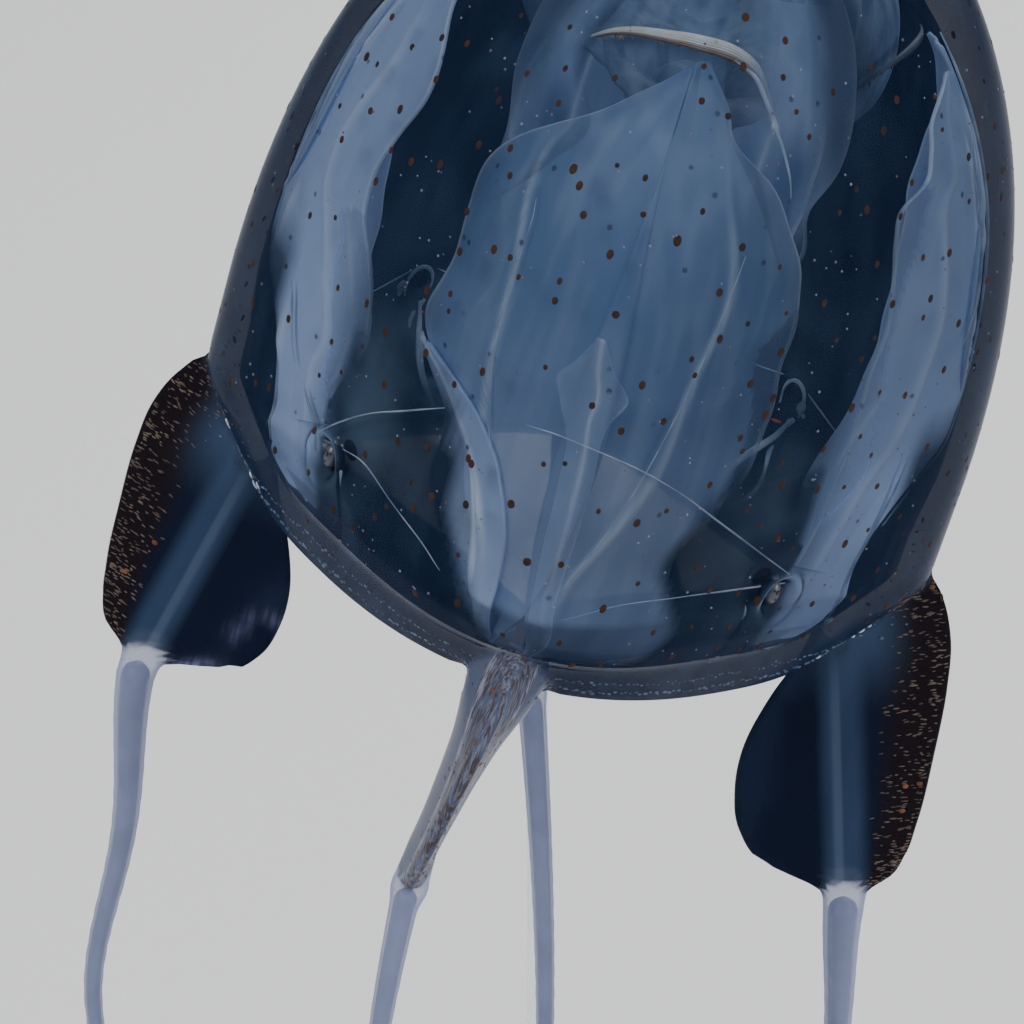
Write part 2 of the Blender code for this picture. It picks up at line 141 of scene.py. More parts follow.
def domeShare(z, top, power):
    share = np.clip((z - bellShape["domeFootZ"]) / (top - bellShape["domeFootZ"]), 0.0, 1.0)
    return np.sqrt(1 - share ** power)


def outerRadius(angle, z):
    b = bellShape
    foot = lerp(b["rimHalfWidth"], b["faceHalfWidth"], (z - b["rimZ"]) / (b["shoulderZ"] - b["rimZ"]))
    return sectionRadius(angle, foot * domeShare(z, b["crownZ"], b["domePower"]), exponentAt(z))


def cavityRadius(angle, z):
    b = bellShape
    foot = lerp(b["cavityFootWidth"], b["cavityHalfWidth"], z / b["shoulderZ"])
    corner = ((1 + np.cos(4 * angle)) / 2) ** 3
    corner = corner * smooth(z, *b["hollowFoot"]) * (1 - smooth(z, *b["hollowTop"]))
    wall = sectionRadius(angle, foot * domeShare(z, b["cavityTopZ"], b["cavityPower"]), exponentAt(z))
    return wall + b["cornerHollow"] * corner


def mouthRadius(angle):
    return 1 / (abs(np.cos(angle)) / velariumShape["mouthX"] + abs(np.sin(angle)) / velariumShape["mouthY"])


def polar(angle, radius, z):
    angle, radius, z = np.broadcast_arrays(angle, radius, z)
    return np.stack([radius * np.cos(angle), radius * np.sin(angle), z], -1)


# mesh helpers
def growRings(rings):  # closed body, a circle extruded ring by ring; each ring is an array of points in mm
    sides = len(rings[0])
    bm = bmesh.new()
    turn = bm.verts.layers.int.new("turn")
    for index, vert in enumerate(bmesh.ops.create_circle(bm, segments=sides, radius=1.0)["verts"]):
        vert[turn] = index
        vert.co = rings[0][index] * mm
    loop = list(bm.edges)
    bmesh.ops.edgeloop_fill(bm, edges=loop)
    for ring in rings[1:]:
        grown = bmesh.ops.extrude_edge_only(bm, edges=loop)["geom"]
        verts = [item for item in grown if isinstance(item, bmesh.types.BMVert)]
        fresh = set(verts)
        loop = [item for item in grown
                if isinstance(item, bmesh.types.BMEdge) and item.verts[0] in fresh and item.verts[1] in fresh]
        for vert in verts:
            vert.co = ring[vert[turn]] * mm
    bmesh.ops.edgeloop_fill(bm, edges=loop)
    bmesh.ops.recalc_face_normals(bm, faces=bm.faces[:])
    return bm


def link(name, data):
    made = bpy.data.objects.new(name, data)
    bpy.context.scene.collection.objects.link(made)
    return made


def addObject(name, bm, material=None):
    mesh = bpy.data.meshes.new(name)
    bm.to_mesh(mesh)
    bm.free()
    mesh.shade_smooth()
    if material:
        mesh.materials.append(material)
    return link(name, mesh)


def applyModifiers(made):
    graph = bpy.context.evaluated_depsgraph_get()
    mesh = bpy.data.meshes.new_from_object(made.evaluated_get(graph))
    made.modifiers.clear()
    made.data = mesh
    mesh.name = made.name
    return made


def thicken(made, thick):
    wall = made.modifiers.new("thickness", 'SOLIDIFY')
    wall.thickness = thick * mm
    wall.offset = 0.0
    return applyModifiers(made)


def boolean(target, tool, operation):
    cut = target.modifiers.new(operation.lower() + "_" + tool.name, 'BOOLEAN')
    cut.operation = operation
    cut.solver = 'EXACT'
    cut.object = tool
    applyModifiers(target)
    bpy.data.objects.remove(tool)


def dress(made, slot, *nodes):
    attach(made, "root")
    if nodes:
        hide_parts(*nodes)
    return made


def positions(mesh):
    found = np.empty(len(mesh.vertices) * 3, np.float32)
    mesh.vertices.foreach_get("co", found)
    return found.reshape(-1, 3).astype(float) / mm


def setAttribute(mesh, name, values):
    layer = mesh.attributes.get(name) or mesh.attributes.new(name, 'FLOAT', 'POINT')
    layer.data.foreach_set("value", np.asarray(values, np.float32))


def sweepRings(path, radii, sides, side=(0.0, 1.0, 0.0)):  # round rings along a path of points in mm
    path = np.asarray(path, float)
    along = np.gradient(path, axis=0)
    along /= np.linalg.norm(along, axis=1, keepdims=True)
    turns = np.arange(sides) / sides * math.tau
    rings = []
    for centre, tangent, radius in zip(path, along, radii):
        first = np.cross(side, tangent)
        first /= np.linalg.norm(first)
        second = np.cross(tangent, first)
        rings.append(centre + radius * (np.outer(np.cos(turns), first) + np.outer(np.sin(turns), second)))
    return rings


def joinBodies(name, parts, material=None):
    joined = bmesh.new()
    for part in parts:
        mesh = bpy.data.meshes.new("part")
        part.to_mesh(mesh)
        part.free()
        joined.from_mesh(mesh)
        bpy.data.meshes.remove(mesh)
    return addObject(name, joined, material)


def tube(path, radii, sides=8, side=(0.13, 0.21, 0.97)):  # closed round body along a path in bell millimetres
    return growRings([toWorld(ring) for ring in sweepRings(path, radii, sides, side)])


# material helpers
def addNode(tree, kind, **settings):
    node = tree.nodes.new("ShaderNode" + kind)
    for name, value in settings.items():
        setattr(node, name, value)
    return node


def feed(tree, node, socket, value):
    target = node.inputs[socket]
    if isinstance(value, bpy.types.NodeSocket):
        tree.links.new(value, target)
    else:
        target.default_value = value


def blend(tree, share, first, second):
    node = addNode(tree, "Mix", data_type='RGBA')
    for socket, value in ((0, share), (6, first), (7, second)):
        feed(tree, node, socket, value)
    return node.outputs[2]


def calc(tree, operation, first, second=0.0):
    node = addNode(tree, "Math", operation=operation)
    feed(tree, node, 0, first)
    feed(tree, node, 1, second)
    return node.outputs[0]


def times(tree, first, second):
    return calc(tree, 'MULTIPLY', first, second)


def fade(tree, value, low, high, start=0.0, end=1.0):
    node = addNode(tree, "MapRange", interpolation_type='SMOOTHSTEP')
    for socket, given in (("Value", value), ("From Min", low), ("From Max", high), ("To Min", start),
                          ("To Max", end)):
        feed(tree, node, socket, given)
    return node.outputs[0]


def between(tree, share, first, second):  # first at share 0, second at share 1, both numbers or sockets
    node = addNode(tree, "Mix", data_type='FLOAT')
    for socket, value in ((0, share), (2, first), (3, second)):
        feed(tree, node, socket, value)
    return node.outputs[0]


def readAttributes(tree, *names):
    return [addNode(tree, "Attribute", attribute_name=name).outputs["Fac"] for name in names]


def facingOf(tree):  # 0 where the surface faces the eye, 1 at its edge
    node = addNode(tree, "LayerWeight")
    node.inputs["Blend"].default_value = 0.5
    return node.outputs["Facing"]


def tint(red, green, blue):
    return (red, green, blue, 1.0)


def startMaterial(name, roughness=0.4, **settings):
    made = bpy.data.materials.new(name)
    made.use_nodes = True
    tree = made.node_tree
    shader = tree.nodes["Principled BSDF"]
    shader.inputs["Roughness"].default_value = roughness
    for socket, value in settings.items():
        shader.inputs[socket.replace("_", " ")].default_value = value
    return made, tree, shader


def makeGrainGroup():  # clouds, specks and a fine height for jelly, skin and threads
    group = bpy.data.node_groups.new("jellyGrain", 'ShaderNodeTree')
    for name, value in (("Cloud Scale", 120.0), ("Speck Scale", 700.0), ("Speck Size", 0.18),
                        ("Fine Scale", 2600.0)):
        group.interface.new_socket(name, in_out='INPUT', socket_type='NodeSocketFloat').default_value = value
    for name in ("Clouds", "Specks", "Height"):
        group.interface.new_socket(name, in_out='OUTPUT', socket_type='NodeSocketFloat')
    source = group.nodes.new("NodeGroupInput")
    result = group.nodes.new("NodeGroupOutput")
    place = addNode(group, "TexCoord").outputs["Object"]
    clouds = addNode(group, "TexNoise")
    fine = addNode(group, "TexNoise")
    cells = addNode(group, "TexVoronoi")
    for node, scale in ((clouds, "Cloud Scale"), (cells, "Speck Scale"), (fine, "Fine Scale")):
        feed(group, node, "Vector", place)
        feed(group, node, "Scale", source.outputs[scale])
    clouds.inputs["Detail"].default_value = 1.5
    fine.inputs["Detail"].default_value = 0.5
    group.links.new(fade(group, clouds.outputs["Fac"], 0.34, 0.66), result.inputs["Clouds"])
    near = calc(group, 'SUBTRACT', 1.0, calc(group, 'DIVIDE', cells.outputs["Distance"],
                                             source.outputs["Speck Size"]))
    kept = fade(group, addColour(group, cells), 0.62, 0.66)
    group.links.new(times(group, fade(group, near, 0.0, 0.6), kept), result.inputs["Specks"])
    group.links.new(fine.outputs["Fac"], result.inputs["Height"])
    return group


def addColour(tree, cells):  # one steady random number for each cell
    split = addNode(tree, "SeparateColor")
    feed(tree, split, 0, cells.outputs["Color"])
    return split.outputs[0]


def makeStreakGroup():  # long soft lines that run from margin to crown
    group = bpy.data.node_groups.new("longStreaks", 'ShaderNodeTree')
    for name, value in (("Scale", 500.0), ("Stretch", 0.06)):
        group.interface.new_socket(name, in_out='INPUT', socket_type='NodeSocketFloat').default_value = value
    group.interface.new_socket("Streaks", in_out='OUTPUT', socket_type='NodeSocketFloat')
    source = group.nodes.new("NodeGroupInput")
    result = group.nodes.new("NodeGroupOutput")
    place = addNode(group, "TexCoord").outputs["Object"]
    turned = addNode(group, "Mapping", vector_type='TEXTURE')  # takes the bell's tilt out of the pattern
    feed(group, turned, "Vector", place)
    turned.inputs["Location"].default_value = bellFrame.translation
    turned.inputs["Rotation"].default_value = bellFrame.to_euler()
    squeeze = addNode(group, "CombineXYZ")
    feed(group, squeeze, 0, 1.0)
    feed(group, squeeze, 1, 1.0)
    feed(group, squeeze, 2, source.outputs["Stretch"])
    scaled = addNode(group, "VectorMath", operation='MULTIPLY')
    feed(group, scaled, 0, turned.outputs[0])
    feed(group, scaled, 1, squeeze.outputs[0])
    lines = addNode(group, "TexNoise")
    lines.inputs["Detail"].default_value = 1.0
    feed(group, lines, "Vector", scaled.outputs[0])
    feed(group, lines, "Scale", source.outputs["Scale"])
    group.links.new(fade(group, lines.outputs["Fac"], 0.36, 0.64), result.inputs["Streaks"])
    return group


grainGroup = makeGrainGroup()
streakGroup = makeStreakGroup()


def placeGroup(tree, group, **values):
    node = tree.nodes.new("ShaderNodeGroup")
    node.node_tree = group
    for name, value in values.items():
        feed(tree, node, name.replace("_", " "), value)
    return node.outputs


def addBump(tree, shader, height, strength, distance):
    node = addNode(tree, "Bump")
    node.inputs["Strength"].default_value = strength
    node.inputs["Distance"].default_value = distance * mm
    feed(tree, node, "Height", height)
    feed(tree, shader, "Normal", node.outputs[0])


def letLightIn(tree, shader, alpha, passed):  # light reaches what lies inside: lamp rays meet a plain tint
    feed(tree, shader, "Alpha", alpha)
    clear = addNode(tree, "BsdfTransparent")
    feed(tree, clear, "Color", passed)
    choice = addNode(tree, "MixShader")
    feed(tree, choice, 0, addNode(tree, "LightPath").outputs["Is Shadow Ray"])
    tree.links.new(shader.outputs[0], choice.inputs[1])
    tree.links.new(clear.outputs[0], choice.inputs[2])
    tree.links.new(choice.outputs[0], tree.nodes["Material Output"].inputs["Surface"])


def grainedMaterial(name, look, **settings):  # two clouded colours under a fine grain
    made, tree, shader = startMaterial(name, look["roughness"], **settings)
    grain = placeGroup(tree, grainGroup, **look["grain"])
    colour = blend(tree, times(tree, grain["Clouds"], look.get("clouds", 1.0)), *look["colours"])
    if "specks" in look:
        share, speck = look["specks"]
        colour = blend(tree, times(tree, grain["Specks"], share), colour, speck)
    if "painted" in look:
        attribute, paint = look["painted"]
        colour = blend(tree, readAttributes(tree, attribute)[0], colour, paint)
    feed(tree, shader, "Base Color", colour)
    if "polish" in look:
        feed(tree, shader, "Roughness", fade(tree, grain["Clouds"], 0.0, 1.0, *look["polish"]))
    if "film" in look:
        letLightIn(tree, shader, between(tree, facingOf(tree), *look["film"]), look["lamp"])
    if "bump" in look:
        addBump(tree, shader, grain["Height"], *look["bump"])
    return made


# pedalia and tentacles
limbShape = {
    "left": {"joint": (-24, 0, 0), "tip": (-28.7, 0, -22.0), "base": 1.70, "fade": 27, "sway": (-5.8, 2.0),
             "wave": 136, "bow": (2.0, 37.0), "patches": ((0.66, -0.88), (0.95, -0.72), (0.73, -0.82))},
    "right": {"joint": (24, 0, 0), "tip": (31.8, 0, -23.8), "base": 1.80, "fade": 22, "sway": (-1.8, 2.6),
              "wave": 124, "bow": (1.2, 34.0)},
    "front": {"joint": (0, -24, 0), "tip": (-2.4, -22.6, -20.2), "base": 1.20, "fade": 24,
              "sway": (-3.8, -2.0), "wave": 118, "knob": 0.30, "pale": 1.0},
    "back": {"joint": (0, 24, 0), "tip": (2.5, 21.4, -26.4), "base": 1.28, "fade": 42, "sway": (1.4, -3.0),
             "wave": 136, "pale": 0.8},
}
keelShape = {
    "outer": [(-0.30, 3.0), (-0.2, 6.4), (-0.08, 7.9), (0.08, 8.6), (0.25, 8.3), (0.5, 7.2), (0.75, 5.8),
              (0.88, 4.7), (0.96, 3.3), (1.0, 2.0)],
    "inner": [(-0.30, 0.6), (0.0, 1.8), (0.15, 3.4), (0.3, 5.8), (0.5, 8.2), (0.65, 8.9), (0.8, 8.6),
              (0.9, 7.2), (0.97, 4.6), (1.0, 2.6)],
    "canal": [(-0.30, 3.2), (0.0, 3.0), (0.25, 2.0), (0.6, 1.35), (0.9, 1.2), (1.0, 1.35)],
    "edge": 0.42, "round": 0.5, "outerFall": 1.6, "innerFall": 2.4, "firstShare": -0.30, "sides": 32,
    "step": 0.5,
}
cordShape = {
    "step": 0.62, "tipRadius": 0.45, "turnIn": 2.5, "easing": 30, "sideSway": 0.8, "knobAt": 0.9,
    "knobLength": 1.3, "ripple": 0.03, "rippleLength": 2.4, "rippleFrom": 30, "lead": 22,
    "rounding": (-1.6, 1.2),
    "end": ((0.16, 0.86), (0.28, 0.5), (0.32, 0.12)),  # the closed tip, (reach, share of the radius)
}


def bladeAxes(spec):
    joint = np.array(spec["joint"], float)
    canal = np.array(spec["tip"], float) - joint
    down = canal / np.linalg.norm(canal)
    outward = joint * (1, 1, 0) / np.linalg.norm(joint[:2])
    outward = outward - down * outward.dot(down)
    outward /= np.linalg.norm(outward)
    return joint, canal, outward, np.cross(down, outward)


def bladeHalf(share, width):  # half the blade's thickness at a distance from its canal
    edge = keelShape["edge"]
    middle = curveThrough(keelShape["canal"], share)
    reach = np.where(width > 0, curveThrough(keelShape["outer"], share),
                     curveThrough(keelShape["inner"], share))
    fall = np.where(width > 0, keelShape["outerFall"], keelShape["innerFall"])
    place = np.clip(abs(width) / reach, 0, 1)
    rounding = np.clip((abs(width) - reach + keelShape["round"]) / keelShape["round"], 0, 1)
    return (middle - edge) * np.cos(place * math.pi / 2) ** fall + edge * np.sqrt(1 - rounding ** 2)


def cordPoint(start, spec, drop):
    swing = np.sin(math.tau * drop / spec["wave"])
    bow, length = spec.get("bow", (0.0, 1.0))  # how far its upper part leans to the right of that wave
    lean = bow * np.sin(math.pi * np.minimum(drop, length) / length) ** 2
    return start + np.stack([spec["sway"][0] * swing + lean, spec["sway"][1] * swing * cordShape["sideSway"],
                             -drop], -1)


def cordRadius(spec, drop):
    c = cordShape
    knob = spec.get("knob", 0.0) * np.exp(-((drop - c["knobAt"]) / c["knobLength"]) ** 2)
    return c["tipRadius"] + (spec["base"] - c["tipRadius"]) * np.exp(-drop / spec["fade"]) + knob


# centres down the canal and the tentacle, with the share of the blade and the drop
def limbPath(corner, spec):
    joint, canal, _, _ = bladeAxes(spec)
    length = np.linalg.norm(canal)
    first = keelShape["firstShare"]
    shares = np.linspace(first, 1.0, int(length * (1 - first) / keelShape["step"]))
    tip = toWorld(joint + canal)
    total = tip[2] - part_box("tentacle_" + corner + "_3")[0].z / mm
    drops = np.linspace(0, total, int(total / cordShape["step"]))[1:]
    path = np.vstack([toWorld(joint + np.outer(shares, canal)), cordPoint(tip, spec, drops)])
    shares = np.concatenate([shares, np.ones(len(drops))])
    drops = np.concatenate([np.zeros(len(path) - len(drops)), drops])
    bend = (1 - shares) * length + drops < cordShape["turnIn"]
    for _ in range(cordShape["easing"]):  # eases the bend between the canal and the tentacle
        path[1:-1][bend[1:-1]] = (path[:-2] + path[2:])[bend[1:-1]] / 2
    return path, shares, drops


def limbRings(corner, spec):
    c = cordShape
    path, shares, drops = limbPath(corner, spec)
    outward = bellTurn @ bladeAxes(spec)[2]
    along = np.gradient(path, axis=0)
    along /= np.linalg.norm(along, axis=1, keepdims=True)
    turns = np.arange(keelShape["sides"]) / keelShape["sides"] * math.tau
    rings = []
    for centre, down, share, drop in zip(path, along, shares, drops):
        first = outward - down * outward.dot(down)
        first /= np.linalg.norm(first)
        second = np.cross(down, first)
        outer, inner = (float(curveThrough(keelShape[side], share)) for side in ("outer", "inner"))
        width = (outer - inner) / 2 + (outer + inner) / 2 * np.cos(turns)
        height = np.sign(np.sin(turns)) * bladeHalf(share, width)
        ripple = c["ripple"] * math.cos(drop * math.tau / c["rippleLength"]) * min(drop / c["rippleFrom"], 1)
        radius = cordRadius(spec, drop) * (1 + ripple)
        rounding = smooth(drop + (share - 1) * c["lead"], *c["rounding"])
        width = width + (radius * np.cos(turns) - width) * rounding
        height = height + (radius * np.sin(turns) - height) * rounding
        rings.append(centre + np.outer(width, first) + np.outer(height, second))
    end, tail = rings[-1], along[-1]
    for reach, size in c["end"]:
        rings.append(path[-1] + (end - path[-1]) * size + tail * reach)
    shift = rings[-1][:, 2].min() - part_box("tentacle_" + corner + "_3")[0].z / mm
    if shift < 0:
        rings[-4:] = [ring - (0, 0, shift) for ring in rings[-4:]]
    return rings


# skin
nicheShape = {
    "z": 9.0, "width": 1.5, "height": 1.75, "depth": 1.35, "floor": (0.5, 1.0), "reach": 5.5,
    "skinDepth": 0.7, "hood": 0.42, "hoodWidth": 0.24, "hoodAt": 1.28, "hoodFoot": 0.25,
    "hoodRise": (-0.5, 0.4),
}


def bellRings(shrink=0.0, filled=False):
    b = bellShape
    v = velariumShape
    turns = np.arange(b["sides"]) / b["sides"] * math.tau

    def level(halfWidth, z, exponent=None):
        power = exponentAt(z) if exponent is None else exponent
        return polar(turns, sectionRadius(turns, halfWidth - shrink, power), z)

    rings = []
    for swing in np.linspace(math.radians(b["domeEnd"]), 0.0, b["domeLevels"]):
        z = b["domeFootZ"] + (b["crownZ"] - b["domeFootZ"] - shrink) * math.sin(swing) ** (2 / b["domePower"])
        rings.append(level(b["faceHalfWidth"] * math.cos(swing), z))
    for z in np.linspace(b["domeFootZ"], b["shoulderZ"], b["wallLevels"])[1:]:
        rings.append(level(b["faceHalfWidth"], z))
    for z in np.linspace(b["shoulderZ"], b["rimZ"], b["shoulderLevels"])[1:]:
        share = (z - b["rimZ"]) / (b["shoulderZ"] - b["rimZ"])
        rings.append(level(lerp(b["rimHalfWidth"], b["faceHalfWidth"], share), z))
    if filled:
        return rings + [level(*b["filledRim"])]
    rings += [level(halfWidth, z, b["round"]) for halfWidth, z in b["rim"]]
    across = (turns / (math.pi / 2)) % 1.0

    def shelf(share, side):
        wall = cavityRadius(turns, v["z"])
        radius = wall + (mouthRadius(turns) - wall) * share
        thick = lerp(v["thickAtWall"], v["thickAtMouth"], share)
        pleat = v["pleatDepth"] * np.sin(across * math.pi * 2 * v["pleats"]) * math.sin(math.pi * share)
        middle = v["z"] + v["rise"] * np.sin(math.pi * across) * share + pleat * np.sin(math.pi * across)
        return polar(turns, radius, middle + side * thick / 2)

    shares = np.linspace(v["firstShare"], 1.0, v["rows"])
    rings += [shelf(share, -1) for share in shares]
    rings += [shelf(v["roundedShare"], -0.4), shelf(v["roundedShare"], 0.4)]
    rings += [shelf(share, 1) for share in shares[::-1]]
    for z in (*v["fillet"], *np.linspace(v["filletTop"], b["domeFootZ"], b["footLevels"])):
        rings.append(polar(turns, cavityRadius(turns, z), z))
    for swing in np.linspace(0.0, math.radians(b["cavityEnd"]), b["cavityLevels"])[1:]:
        z = b["domeFootZ"] + (b["cavityTopZ"] - b["domeFootZ"]) * math.sin(swing) ** (2 / b["cavityPower"])
        rings.append(polar(turns, cavityRadius(turns, z), z))
    return rings


def faceMatrix(degrees, radius, z):  # X outward, Y along the face, Z up, in world metres
    turn = Matrix.Rotation(math.radians(degrees), 4, 'Z')
    return bellFrame @ turn @ Matrix.Translation(Vector((radius, 0, z)) * mm)


def sinkNiches(bm):
    n = nicheShape
    for degrees in faceTurns.values():
        place = faceMatrix(degrees, bellShape["faceHalfWidth"], n["z"])
        inverse = place.inverted()

        def nearby(vert):
            spot = inverse @ vert.co / mm
            return -n["skinDepth"] < spot.x and math.hypot(spot.y, spot.z) < n["reach"]

        for _ in range(2):
            edges = [edge for edge in bm.edges if nearby(edge.verts[0]) and nearby(edge.verts[1])]
            bmesh.ops.subdivide_edges(bm, edges=edges, cuts=1, use_grid_fill=True)
        for vert in bm.verts:
            if not nearby(vert):
                continue
            spot = inverse @ vert.co / mm
            reach = math.hypot(spot.y / n["width"], spot.z / n["height"])
            sink = n["depth"] * (1 - float(smooth(reach, *n["floor"])))
            upper = n["hoodFoot"] + (1 - n["hoodFoot"]) * float(smooth(spot.z / n["height"], *n["hoodRise"]))
            hood = n["hood"] * upper * math.exp(-((reach - n["hoodAt"]) / n["hoodWidth"]) ** 2)
            spot.x += hood - sink
            vert.co = place @ (spot * mm)


def frenulumPoint(angle, rise, along):  # along runs from the wall, 0, to the free edge, 1
    f = frenulumShape
    z = f["foot"] + rise * f["height"]
    reach = lerp(f["reach"], f["topReach"], rise ** f["taper"])
    radius = cavityRadius(angle, z) + f["inWall"] - along * reach
    sway = f["sway"] * np.sin(rise * f["swayTurn"]) * along
    return polar(angle, radius, z) + polar(angle + math.pi / 2, sway, 0)


def makeFrenula():
    f = frenulumShape
    bm = bmesh.new()
    for degrees in faceTurns.values():
        before = set(bm.verts)
        bmesh.ops.create_grid(bm, x_segments=f["rows"], y_segments=f["columns"], size=0.5)
        for vert in [vert for vert in bm.verts if vert not in before]:
            spot = frenulumPoint(math.radians(degrees), vert.co.x + 0.5, vert.co.y + 0.5)
            vert.co = Vector(toWorld(spot)) * mm
    return thicken(addObject("frenula", bm), f["thick"])


# inset is how deep the limbs reach into the bell, rounds (how far from the seam, how often it is eased)
seamShape = {"inset": 0.4, "touch": 0.06, "rounds": ((1.6, 5), (0.9, 6))}


def softenSeams(mesh, first, second):  # eases the crease where two bodies were joined
    touch = seamShape["touch"] * mm
    seams = [vert.co for vert in mesh.vertices
             if first.find_nearest(vert.co, touch)[0] and second.find_nearest(vert.co, touch)[0]]
    tree = KDTree(len(seams))
    for index, spot in enumerate(seams):
        tree.insert(spot, index)
    tree.balance()
    bm = bmesh.new()
    bm.from_mesh(mesh)
    for reach, rounds in seamShape["rounds"]:
        close = [vert for vert in bm.verts if tree.find(vert.co)[2] < reach * mm]
        for _ in range(rounds):
            bmesh.ops.smooth_vert(bm, verts=close, factor=0.5,
                                  use_axis_x=True, use_axis_y=True, use_axis_z=True)
    bm.to_mesh(mesh)
    bm.free()


# where the skin's regions begin and end: heights, distances and degrees from the nearest corner
markShape = {
    "wallFoot": 1.0, "wallTop": 0.3, "shelfEdge": (0.0, 1.2), "shelfTop": (1.6, 2.2),
    "shelfFoot": (-0.6, 0.0), "hoodAt": 1.22, "hoodWidth": 0.17, "hoodFoot": 0.15, "hoodLean": 0.35,
    "hoodRise": (-0.55, 0.5), "hollow": (0.72, 1.02), "outside": 0.1, "rimDepth": 0.5, "onBlade": (0.0, 1.2),
    "bladeShares": (-0.34, 1.06), "bladeThick": 3.6, "bladeWide": 9.6, "patchLong": 0.045, "patchWide": 0.13,
    "cordReach": 3.2, "cordFrom": -1.0, "cordArch": 0.42, "cordEdge": 0.35, "cordWhole": 4.0,
    "faceMiddle": (28.0, 41.0), "hazeWidth": 4.5, "hazeFoot": (1.0, 7.0), "hazeTop": (15.0, 24.0),
    # the bare wall between the leaves, painted near-opaque and dark low down as painted shade inside the
    # bell, and the leaf edges that it follows
    "bare": (33.0, 39.0), "bareAtSides": (13.0, 19.0), "bareBesideLeaf": (-7.0, -2.5),
    "bareTop": (17.0, 23.0), "leafEdgeLeft": [(0, 8), (4.3, 12), (6.5, 15.3), (9.4, 19.2), (11.3, 22),
                                              (15, 22.8), (19, 27), (24, 36)],
    "leafEdgeRight": [(0, 22), (2, 27.5), (5, 32), (8, 29), (11, 25), (18, 33), (24, 36)],
}


def markNiches(marks, local):
    m, n = markShape, nicheShape
    z = local[:, 2]
    for degrees in faceTurns.values():
        turn = math.radians(degrees)
        aside = -local[:, 0] * math.sin(turn) + local[:, 1] * math.cos(turn)
        out = local[:, 0] * math.cos(turn) + local[:, 1] * math.sin(turn)
        ring = np.hypot(aside / n["width"], (z - n["z"]) / n["height"])
        ring = np.where(out > bellShape["cavityHalfWidth"] + m["outside"], ring, 9)  # 9: far from any niche
        upper = smooth((z - n["z"]) / n["height"] - m["hoodLean"] * aside / n["width"], *m["hoodRise"])
        hood = np.exp(-((ring - m["hoodAt"]) / m["hoodWidth"]) ** 2)
        hood = hood * (m["hoodFoot"] + (1 - m["hoodFoot"]) * upper)
        marks["hood"] = np.maximum(marks["hood"], hood)
        # hollow: the niche's floor, painted near-black later as painted shade
        marks["hollow"] = np.maximum(marks["hollow"], 1 - smooth(ring, *m["hollow"]))
        marks["wallHaze"] = np.maximum(marks["wallHaze"], (out > 0) * np.exp(-(aside / m["hazeWidth"]) ** 2))
    marks["wallHaze"] = marks["wallHaze"] * smooth(z, *m["hazeFoot"]) * (1 - smooth(z, *m["hazeTop"]))


def markLimbs(marks, world, local, beyond):
    m, k = markShape, keelShape
    for spec in limbShape.values():
        joint, canal, outward, flat = bladeAxes(spec)
        rel = local - joint
        share = rel @ canal / np.linalg.norm(canal) ** 2
        width, height = rel @ outward, rel @ flat
        onBlade = (share > m["bladeShares"][0]) & (share < m["bladeShares"][1])
        onBlade &= (abs(height) < m["bladeThick"]) & (abs(width) < m["bladeWide"])
        value = np.where(onBlade, smooth(beyond, *m["onBlade"]), 0.0)
        place = width / np.where(width > 0, curveThrough(k["outer"], share), curveThrough(k["inner"], share))
        across = abs(height) / curveThrough(k["canal"], share)
        for name, found in (("keel", place), ("fromCanal", width), ("alongBlade", share),
                            ("flatAcross", across), ("paleLimb", spec.get("pale", 0.0))):
            marks[name] = np.where(value > marks["blade"], found, marks[name])
        for patchShare, patchPlace in spec.get("patches", ()):
            far = ((share - patchShare) / m["patchLong"]) ** 2 + ((place - patchPlace) / m["patchWide"]) ** 2
            marks["keelPatch"] = np.maximum(marks["keelPatch"], value * np.exp(-far))
        marks["blade"] = np.maximum(marks["blade"], value)
        tip = toWorld(joint + canal)
        drop = tip[2] - world[:, 2]
        centre = cordPoint(tip, spec, np.maximum(drop, 0))
        close = np.hypot(world[:, 0] - centre[:, 0], world[:, 1] - centre[:, 1]) < m["cordReach"]
        start = m["cordFrom"] + m["cordArch"] * width ** 2
        cord = np.where(close, smooth(drop, start - m["cordEdge"], start + m["cordEdge"]), 0.0)
        cord = np.maximum(cord, close & (drop > m["cordWhole"]))
        marks["cord"] = np.maximum(marks["cord"], cord)


